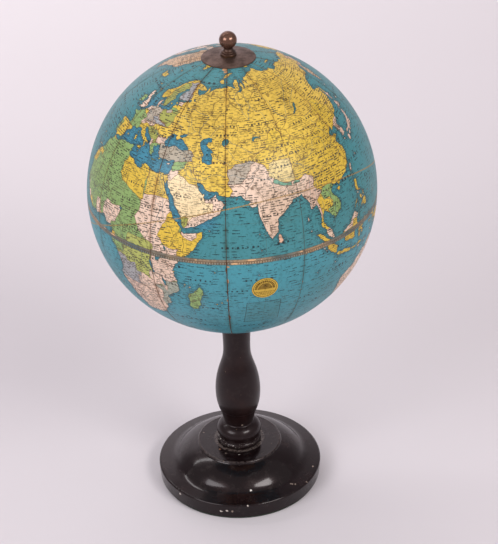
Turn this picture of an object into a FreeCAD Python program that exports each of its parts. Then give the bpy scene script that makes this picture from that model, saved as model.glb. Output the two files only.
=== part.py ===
"""Desktop globe on a turned stand, as the separate pieces it is assembled from.

Millimetres, +Z up. The origin is the centre of the felt pad's underside, where the
globe stands. The stand, the axle and the globe share one upright axis, the Z axis.
The 60 degree east meridian faces -Y, and east runs anticlockwise seen from above.
"""
import FreeCAD, Part
import math
import os

from FreeCAD import Vector

# ---- driving dimensions -------------------------------------------------------------
GLOBE_R = 127.0            # outside of the printed paper: a ten inch globe
GLOBE_Z = 308.0            # height of the globe's centre
FRONT_LON = 60.0           # meridian that faces -Y, degrees east

PAPER_T = 0.4              # printed gore with its glue and chalk ground
BOARD_T = 3.2              # pressed board of the two hemispheres
GORES = 12                 # gores round the globe, each one cut in two at the equator
SEAM_GAP = 0.3             # open seam between neighbouring papers
CALOTTE_R = 17.5           # outer radius of the round paper at each pole
SEAL_D = 22.5              # round foil seal
SEAL_T = 0.15
SEAL_LAT = -13.2
SEAL_LON = 74.4

ROD_R = 2.4                # axle rod
ROD_TIP_R = 2.0            # its smaller upper end, which the finial screws on
ROD_FOOT_Z = 3.0           # lower end of the rod, inside the counterbore
TIP_CHAMFER = 0.8
RUNNING = 0.05             # radial clearance of everything that turns on the rod
LIFT = 0.3                 # gap between faces that turn past each other
WASHER_PLAY = 0.15         # end play of the hour disc and its washer under the finial

FELT_T = 1.5
FOOT_R = 77.5              # widest radius of the wooden foot
RIM_Z = 16.3               # top of the foot's upright rim
STEP_R = 39.5              # radius of the raised centre of the foot
SEAT_Z = 38.0              # top of the foot, where the pillar stands
TENON_R = 11.0
TENON_L = 18.0
COUNTERBORE_R = 12.0
COUNTERBORE_L = 12.0
WOOD_HOLE_R = 2.7          # drilling for the rod through the wood

COLLAR_R = 7.0
COLLAR_T = 3.0
THRUST_R = 11.0
THRUST_T = 1.8
WASHER_R = 9.0
WASHER_T = 1.2
NUT_FLATS = 8.0
NUT_T = 4.0

BUSH_R = 4.5               # barrel of a pole bush
BUSH_FLANGE_R = 9.0
BUSH_FLANGE_T = 0.8
BLOCK_R = 24.0             # wooden block glued inside each pole
BLOCK_T = 14.0
TUBE_R = 9.0               # wound paper tube between the blocks
TUBE_BORE_R = 5.2
TUBE_SOCKET = 6.0          # how deep the tube sits in each block
HOOP_HALF_H = 11.0         # joining hoop inside the equator
HOOP_T = 3.0

DIAL_R = 23.2              # hour disc
DIAL_T = 0.6
DIAL_WASHER_R = 6.4
DIAL_WASHER_T = 0.4
FINIAL_FLANGE_R = 7.05
FINIAL_NECK_R = 3.8
BALL_R = 7.55
BALL_RISE = 12.5           # from the finial's underside to the ball's centre
FINIAL_BORE_L = 9.0
DRILL_POINT = 1.2          # height of the cone at the end of the finial's hole

UP = Vector(0, 0, 1)
CENTRE = Vector(0, 0, GLOBE_Z)


# ---- helpers -------------------------------------------------------------------------
def height_at(radius, r):
    """Height above the centre where a sphere has the radius r about the axis."""
    return math.sqrt(radius ** 2 - r ** 2)


def at(r, z):
    """A point of an outline: radius and height."""
    return Vector(r, 0, z)


def line(a, b):
    return Part.LineSegment(a, b).toShape()


def arc(a, through, b):
    return Part.Arc(a, through, b).toShape()


def smooth(points):
    """One smooth curve through a few points."""
    curve = Part.BSplineCurve()
    curve.interpolate(points)
    return curve.toShape()


def turned(edges):
    """The solid turned about the Z axis from a closed outline."""
    return Part.Face(Part.Wire(edges)).revolve(Vector(0, 0, 0), UP, 360)


def cylinder(radius, z0, z1):
    return Part.makeCylinder(radius, z1 - z0, Vector(0, 0, z0))


def ring(outer, bore, z0, z1):
    return cylinder(outer, z0, z1).cut(cylinder(bore, z0 - 1, z1 + 1))


def on_sphere(radius, z):
    """The point of a sphere's outline at a height above the globe's centre."""
    return at(math.sqrt(radius ** 2 - z ** 2), GLOBE_Z + z)


def sphere_arc(radius, z0, z1):
    """The sphere's outline from one height above the centre to another."""
    a0 = math.asin(z0 / radius)
    a1 = math.asin(z1 / radius)
    middle = on_sphere(radius, radius * math.sin((a0 + a1) / 2))
    return arc(on_sphere(radius, z0), middle, on_sphere(radius, z1))


def southern(shape):
    """The same piece at the south pole: a mirror image in the equator's plane."""
    return shape.mirror(CENTRE, UP)


# ---- heights that follow from the sizes ----------------------------------------------
BOARD_R = GLOBE_R - PAPER_T                        # outside of the board
BOARD_IN_R = BOARD_R - BOARD_T                     # inside of the board
FLANGE_TOP = height_at(GLOBE_R, BUSH_FLANGE_R)     # a bush's flange lies flush with the paper
FLANGE_UNDER = FLANGE_TOP - BUSH_FLANGE_T
BLOCK_UNDER = height_at(BOARD_IN_R, BLOCK_R) - BLOCK_T
TUBE_END = BLOCK_UNDER + TUBE_SOCKET
PILLAR_TOP_Z = GLOBE_Z - FLANGE_TOP - LIFT - THRUST_T

DIAL_UNDER_R = GLOBE_R + LIFT                      # the disc is domed round the globe's centre
DIAL_TOP_R = DIAL_UNDER_R + DIAL_T
DIAL_WASHER_Z = GLOBE_Z + height_at(DIAL_TOP_R, ROD_R + RUNNING)
FINIAL_Z = DIAL_WASHER_Z + DIAL_WASHER_T + WASHER_PLAY
BALL_Z = FINIAL_Z + BALL_RISE


# ---- stand ---------------------------------------------------------------------------
def base_turning():
    """Foot: upright rim, flat flare, cove, rounded dome, and a raised centre with the pillar's socket."""
    rim_round = 1.3
    flare_start = at(FOOT_R - 1.6, RIM_Z + 0.2)
    flare_end = at(66.5, 18.6)
    cove_end = at(59.5, 22.8)
    dome_top = at(STEP_R + 0.8, 35.4)
    riser_top = at(STEP_R + 0.3, SEAT_Z - 1.9)
    step_top = at(STEP_R - 1.8, SEAT_Z - 0.4)
    level_r = 23.5
    socket_z = SEAT_Z - TENON_L
    counterbore_z = FELT_T + COUNTERBORE_L
    outline = [
        line(at(COUNTERBORE_R, FELT_T), at(FOOT_R - 1.9, FELT_T)),
        line(at(FOOT_R - 1.9, FELT_T), at(FOOT_R - 0.9, FELT_T + 1.0)),
        line(at(FOOT_R - 0.9, FELT_T + 1.0), at(FOOT_R, RIM_Z - rim_round)),
        arc(at(FOOT_R, RIM_Z - rim_round), at(FOOT_R - 0.45, RIM_Z - 0.35), flare_start),
        line(flare_start, flare_end),
        arc(flare_end, at(62.67, 20.15), cove_end),
        arc(cove_end, at(50.77, 30.42), dome_top),
        line(dome_top, riser_top),
        arc(riser_top, at(STEP_R - 0.2, SEAT_Z - 0.8), step_top),
        line(step_top, at(level_r, SEAT_Z)),
        line(at(level_r, SEAT_Z), at(TENON_R, SEAT_Z)),
        line(at(TENON_R, SEAT_Z), at(TENON_R, socket_z)),
        line(at(TENON_R, socket_z), at(WOOD_HOLE_R, socket_z)),
        line(at(WOOD_HOLE_R, socket_z), at(WOOD_HOLE_R, counterbore_z)),
        line(at(WOOD_HOLE_R, counterbore_z), at(COUNTERBORE_R, counterbore_z)),
        line(at(COUNTERBORE_R, counterbore_z), at(COUNTERBORE_R, FELT_T)),
    ]
    return turned(outline)


def felt_pad():
    return cylinder(FOOT_R - 2.4, 0, FELT_T)


def pillar():
    """Baluster: bead and necking at the foot, quarter-round cap, bevel, bulge and flared neck."""
    collar_seat = PILLAR_TOP_Z - COLLAR_T
    tenon_end = SEAT_Z - TENON_L
    lip_z = PILLAR_TOP_Z - 4.6
    outline = [
        line(at(WOOD_HOLE_R, tenon_end), at(TENON_R, tenon_end)),
        line(at(TENON_R, tenon_end), at(TENON_R, SEAT_Z)),
        line(at(TENON_R, SEAT_Z), at(19.9, SEAT_Z)),
        arc(at(19.9, SEAT_Z), at(20.9, 40.4), at(19.9, 42.8)),
        line(at(19.9, 42.8), at(19.2, 43.1)),
        arc(at(19.2, 43.1), at(18.9, 46.0), at(19.6, 48.6)),
        line(at(19.6, 48.6), at(20.9, 48.9)),
        arc(at(20.9, 48.9), at(19.5, 55.0), at(15.2, 58.9)),
        arc(at(15.2, 58.9), at(14.0, 59.7), at(13.9, 60.8)),
        line(at(13.9, 60.8), at(17.6, 74.6)),
        line(at(17.6, 74.6), at(18.2, 75.6)),
        smooth([at(18.2, 75.6), at(21.1, 93.5), at(17.3, 119.8), at(13.3, 133.6),
                at(12.6, 144.0), at(13.0, 157.0), at(14.6, lip_z)]),
        arc(at(14.6, lip_z), at(15.1, lip_z + 2.2), at(14.4, PILLAR_TOP_Z - 0.7)),
        line(at(14.4, PILLAR_TOP_Z - 0.7), at(13.5, PILLAR_TOP_Z)),
        line(at(13.5, PILLAR_TOP_Z), at(COLLAR_R, PILLAR_TOP_Z)),
        line(at(COLLAR_R, PILLAR_TOP_Z), at(COLLAR_R, collar_seat)),
        line(at(COLLAR_R, collar_seat), at(WOOD_HOLE_R, collar_seat)),
        line(at(WOOD_HOLE_R, collar_seat), at(WOOD_HOLE_R, tenon_end)),
    ]
    return turned(outline)


def axle_rod():
    """Rod with a shoulder under the finial and a smaller tip inside it."""
    tip_z = FINIAL_Z + FINIAL_BORE_L - 1.0
    chamfer_z = tip_z - TIP_CHAMFER
    rod = cylinder(ROD_R, ROD_FOOT_Z, FINIAL_Z)
    tip = Part.makeCone(ROD_TIP_R, ROD_TIP_R - TIP_CHAMFER, TIP_CHAMFER, Vector(0, 0, chamfer_z))
    return rod.fuse(cylinder(ROD_TIP_R, FINIAL_Z, chamfer_z)).fuse(tip).removeSplitter()


def axle_collar():
    return ring(COLLAR_R, ROD_R, PILLAR_TOP_Z - COLLAR_T, PILLAR_TOP_Z)


def thrust_washer():
    return ring(THRUST_R, ROD_R + RUNNING, PILLAR_TOP_Z, PILLAR_TOP_Z + THRUST_T)


def foot_washer():
    top = FELT_T + COUNTERBORE_L
    return ring(WASHER_R, ROD_R + RUNNING, top - WASHER_T, top)


def foot_nut():
    """Hexagon nut, its thread drawn as the rod's plain radius."""
    top = FELT_T + COUNTERBORE_L - WASHER_T
    corner = NUT_FLATS / math.sqrt(3)
    points = []
    for k in range(6):
        turn = math.radians(60 * k)
        points.append(Vector(corner * math.cos(turn), corner * math.sin(turn), top - NUT_T))
    hexagon = Part.Face(Part.makePolygon(points + points[:1])).extrude(UP * NUT_T)
    return hexagon.cut(cylinder(ROD_R, top - NUT_T - 1, top + 1))


# ---- top of the axle -----------------------------------------------------------------
def hour_dial():
    """Thin domed disc with a rolled-over edge, bored to run on the rod."""
    bore = ROD_R + RUNNING
    top_inner = height_at(DIAL_TOP_R, bore)
    top_outer = height_at(DIAL_TOP_R, DIAL_R - 0.5)
    under_inner = height_at(DIAL_UNDER_R, bore)
    under_outer = height_at(DIAL_UNDER_R, DIAL_R)
    lip = at(DIAL_R, GLOBE_Z + top_outer - 0.45)
    outline = [
        sphere_arc(DIAL_TOP_R, top_inner, top_outer),
        line(on_sphere(DIAL_TOP_R, top_outer), lip),
        line(lip, on_sphere(DIAL_UNDER_R, under_outer)),
        sphere_arc(DIAL_UNDER_R, under_outer, under_inner),
        line(on_sphere(DIAL_UNDER_R, under_inner), on_sphere(DIAL_TOP_R, top_inner)),
    ]
    return turned(outline)


def dial_washer():
    return ring(DIAL_WASHER_R, ROD_R + RUNNING, DIAL_WASHER_Z, DIAL_WASHER_Z + DIAL_WASHER_T)


def finial():
    """Stepped flange, waisted neck and ball, with a blind hole from below."""
    z = FINIAL_Z
    neck_z = z + 5.4
    bore_z = z + FINIAL_BORE_L
    ball_foot = at(FINIAL_NECK_R + 0.35, BALL_Z - math.sqrt(BALL_R ** 2 - (FINIAL_NECK_R + 0.35) ** 2))
    outline = [
        line(at(ROD_TIP_R, z), at(FINIAL_FLANGE_R - 0.3, z)),
        arc(at(FINIAL_FLANGE_R - 0.3, z), at(FINIAL_FLANGE_R, z + 0.7), at(FINIAL_FLANGE_R - 0.5, z + 1.3)),
        line(at(FINIAL_FLANGE_R - 0.5, z + 1.3), at(5.9, z + 1.6)),
        arc(at(5.9, z + 1.6), at(6.15, z + 2.2), at(5.6, z + 2.8)),
        arc(at(5.6, z + 2.8), at(4.3, z + 4.0), at(FINIAL_NECK_R, neck_z)),
        line(at(FINIAL_NECK_R, neck_z), ball_foot),
        arc(ball_foot, at(BALL_R, BALL_Z), at(0, BALL_Z + BALL_R)),
        line(at(0, BALL_Z + BALL_R), at(0, bore_z)),
        line(at(0, bore_z), at(ROD_TIP_R, bore_z - DRILL_POINT)),
        line(at(ROD_TIP_R, bore_z - DRILL_POINT), at(ROD_TIP_R, z)),
    ]
    return turned(outline)


# ---- inside the globe ----------------------------------------------------------------
def shell_north():
    """Upper hemisphere of board, with a seat for the bush at the pole."""
    pole_out = height_at(BOARD_R, BUSH_R)
    pole_in = height_at(BOARD_IN_R, BUSH_R)
    outline = [
        sphere_arc(BOARD_R, 0, pole_out),
        line(on_sphere(BOARD_R, pole_out), on_sphere(BOARD_IN_R, pole_in)),
        sphere_arc(BOARD_IN_R, pole_in, 0),
        line(on_sphere(BOARD_IN_R, 0), on_sphere(BOARD_R, 0)),
    ]
    seat = cylinder(BUSH_FLANGE_R, GLOBE_Z + FLANGE_UNDER, GLOBE_Z + GLOBE_R)
    return turned(outline).cut(seat)


def equator_hoop():
    """Board hoop glued across the joint between the hemispheres."""
    inner = BOARD_IN_R - HOOP_T
    outline = [
        sphere_arc(BOARD_IN_R, -HOOP_HALF_H, HOOP_HALF_H),
        line(on_sphere(BOARD_IN_R, HOOP_HALF_H), at(inner, GLOBE_Z + HOOP_HALF_H)),
        line(at(inner, GLOBE_Z + HOOP_HALF_H), at(inner, GLOBE_Z - HOOP_HALF_H)),
        line(at(inner, GLOBE_Z - HOOP_HALF_H), on_sphere(BOARD_IN_R, -HOOP_HALF_H)),
    ]
    return turned(outline)


def pole_block_north():
    """Round wooden block against the inside of the shell, with a socket for the tube."""
    bush_top = height_at(BOARD_IN_R, BUSH_R)
    edge = height_at(BOARD_IN_R, BLOCK_R)
    outline = [
        sphere_arc(BOARD_IN_R, edge, bush_top),
        line(on_sphere(BOARD_IN_R, bush_top), at(BUSH_R, GLOBE_Z + TUBE_END)),
        line(at(BUSH_R, GLOBE_Z + TUBE_END), at(TUBE_R, GLOBE_Z + TUBE_END)),
        line(at(TUBE_R, GLOBE_Z + TUBE_END), at(TUBE_R, GLOBE_Z + BLOCK_UNDER)),
        line(at(TUBE_R, GLOBE_Z + BLOCK_UNDER), at(BLOCK_R, GLOBE_Z + BLOCK_UNDER)),
        line(at(BLOCK_R, GLOBE_Z + BLOCK_UNDER), on_sphere(BOARD_IN_R, edge)),
    ]
    return turned(outline)


def centre_tube():
    return ring(TUBE_R, TUBE_BORE_R, GLOBE_Z - TUBE_END, GLOBE_Z + TUBE_END)


def pole_bush_north():
    """Flanged brass bush, bored to run on the rod."""
    bore = ROD_R + RUNNING
    flange = ring(BUSH_FLANGE_R, bore, GLOBE_Z + FLANGE_UNDER, GLOBE_Z + FLANGE_TOP)
    barrel = ring(BUSH_R, bore, GLOBE_Z + TUBE_END, GLOBE_Z + FLANGE_UNDER)
    return flange.fuse(barrel).removeSplitter()


# ---- papers --------------------------------------------------------------------------
def paper_band(outer_r, inner_r):
    """Outline of a paper on the board, between two radii about the axis, with its edges cut square."""
    z0 = height_at(GLOBE_R, outer_r)
    z1 = height_at(GLOBE_R, inner_r)
    under = BOARD_R / GLOBE_R
    return [
        sphere_arc(GLOBE_R, z0, z1),
        line(on_sphere(GLOBE_R, z1), on_sphere(BOARD_R, z1 * under)),
        sphere_arc(BOARD_R, z1 * under, z0 * under),
        line(on_sphere(BOARD_R, z0 * under), on_sphere(GLOBE_R, z0)),
    ]


def gore_north(west):
    """Half gore that starts at a meridian and covers one twelfth of the northern half."""
    span = 360.0 / GORES
    seam = math.degrees(SEAM_GAP / GLOBE_R)
    equator_r = height_at(GLOBE_R, SEAM_GAP / 2)
    face = Part.Face(Part.Wire(paper_band(equator_r, CALOTTE_R)))
    start = west - FRONT_LON - 90 + seam / 2
    gore = face.revolve(Vector(0, 0, 0), UP, span - seam)
    gore.rotate(Vector(0, 0, 0), UP, start)
    return gore


def calotte_north():
    """Round paper at the pole, from the bush's flange out to the gores."""
    return turned(paper_band(CALOTTE_R - SEAM_GAP, BUSH_FLANGE_R + SEAM_GAP))


def seal():
    """Round foil seal stuck on the paper."""
    turn = math.radians(SEAL_LON - FRONT_LON)
    tilt = math.radians(SEAL_LAT)
    out = Vector(math.cos(tilt) * math.sin(turn), -math.cos(tilt) * math.cos(turn), math.sin(tilt))
    half_l = 5.0
    plug = Part.makeCylinder(SEAL_D / 2, 2 * half_l, CENTRE + out * (GLOBE_R - half_l), out)
    skin = Part.makeSphere(GLOBE_R + SEAL_T, CENTRE).cut(Part.makeSphere(GLOBE_R, CENTRE))
    return plug.common(skin)


# ---- all the nodes -------------------------------------------------------------------
def pieces():
    made = {
        "base_turning": base_turning(),
        "felt_pad": felt_pad(),
        "pillar": pillar(),
        "axle_rod": axle_rod(),
        "axle_collar": axle_collar(),
        "thrust_washer": thrust_washer(),
        "foot_washer": foot_washer(),
        "foot_nut": foot_nut(),
        "finial": finial(),
        "hour_dial": hour_dial(),
        "dial_washer": dial_washer(),
        "equator_hoop": equator_hoop(),
        "centre_tube": centre_tube(),
        "seal": seal(),
    }
    for name, make in (("shell", shell_north), ("pole_block", pole_block_north),
                       ("pole_bush", pole_bush_north), ("calotte", calotte_north)):
        made[name + "_north"] = make()
        made[name + "_south"] = southern(make())
    for k in range(GORES):
        west = k * 360 // GORES
        made["gore_north_%03d" % west] = gore_north(west)
        made["gore_south_%03d" % west] = southern(gore_north(west))
    return made


os.makedirs("parts", exist_ok=True)
for node, shape in pieces().items():
    if shape.ShapeType != "Solid" and len(shape.Solids) == 1:
        shape = shape.Solids[0]
    box = shape.BoundBox
    print("%-18s %d solid  valid %s  volume %9.1f  z %.2f to %.2f"
          % (node, len(shape.Solids), shape.isValid(), shape.Volume, box.ZMin, box.ZMax))
    shape.exportStep("parts/%s.step" % node)
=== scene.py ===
"""Looks of the desktop globe: a printed paper map on twelve pairs of gores, a black lacquered
stand, bronze fittings and a foil seal, in soft studio light. Metres, +Z up."""

import math
import random

import bpy
import numpy as np
from mathutils import Matrix, Vector
from mathutils.geometry import delaunay_2d_cdt
from mathutils.kdtree import KDTree


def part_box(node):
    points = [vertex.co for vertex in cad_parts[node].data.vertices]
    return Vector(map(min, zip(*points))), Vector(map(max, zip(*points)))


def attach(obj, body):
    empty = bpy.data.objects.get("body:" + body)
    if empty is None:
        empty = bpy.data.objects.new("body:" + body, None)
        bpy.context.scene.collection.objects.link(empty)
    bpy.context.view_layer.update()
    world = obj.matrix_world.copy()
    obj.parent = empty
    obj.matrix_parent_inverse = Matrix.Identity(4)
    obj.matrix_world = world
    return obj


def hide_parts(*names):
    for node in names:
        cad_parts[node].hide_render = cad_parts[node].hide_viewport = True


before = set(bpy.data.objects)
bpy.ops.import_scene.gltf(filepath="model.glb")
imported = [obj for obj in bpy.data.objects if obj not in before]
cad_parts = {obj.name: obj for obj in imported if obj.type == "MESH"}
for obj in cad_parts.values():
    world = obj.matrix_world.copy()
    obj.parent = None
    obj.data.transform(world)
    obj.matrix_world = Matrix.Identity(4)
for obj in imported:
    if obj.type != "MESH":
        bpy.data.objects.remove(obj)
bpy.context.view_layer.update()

# ---- sizes -------------------------------------------------------------------------------
GLOBE_CENTRE = Vector((0, 0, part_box("shell_north")[0].z))
PAPER_T = 0.0004                 # printed paper on the board
PIT_DEPTH = 0.00028              # how deep a chip goes into the paper
GLOBE_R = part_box("shell_north")[1].x + PAPER_T
CALOTTE_R = 0.0175               # where the gores meet the polar papers
SEAL_R = 0.01125
FRONT_LON = 60.0                 # the meridian that faces -Y
GORE_SPAN = 30
POLE_LAT = math.degrees(math.acos(CALOTTE_R / GLOBE_R))
MM_PER_DEG = GLOBE_R * 1000 * math.pi / 180

# Printed lines, open seams and the spacing of the paper's mesh: mm, mm and degrees.
COAST_MM, BORDER_MM, RIVER_MM = 0.42, 0.34, 0.26
SEAM_MM = 0.24
ROW = 1.4

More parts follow.
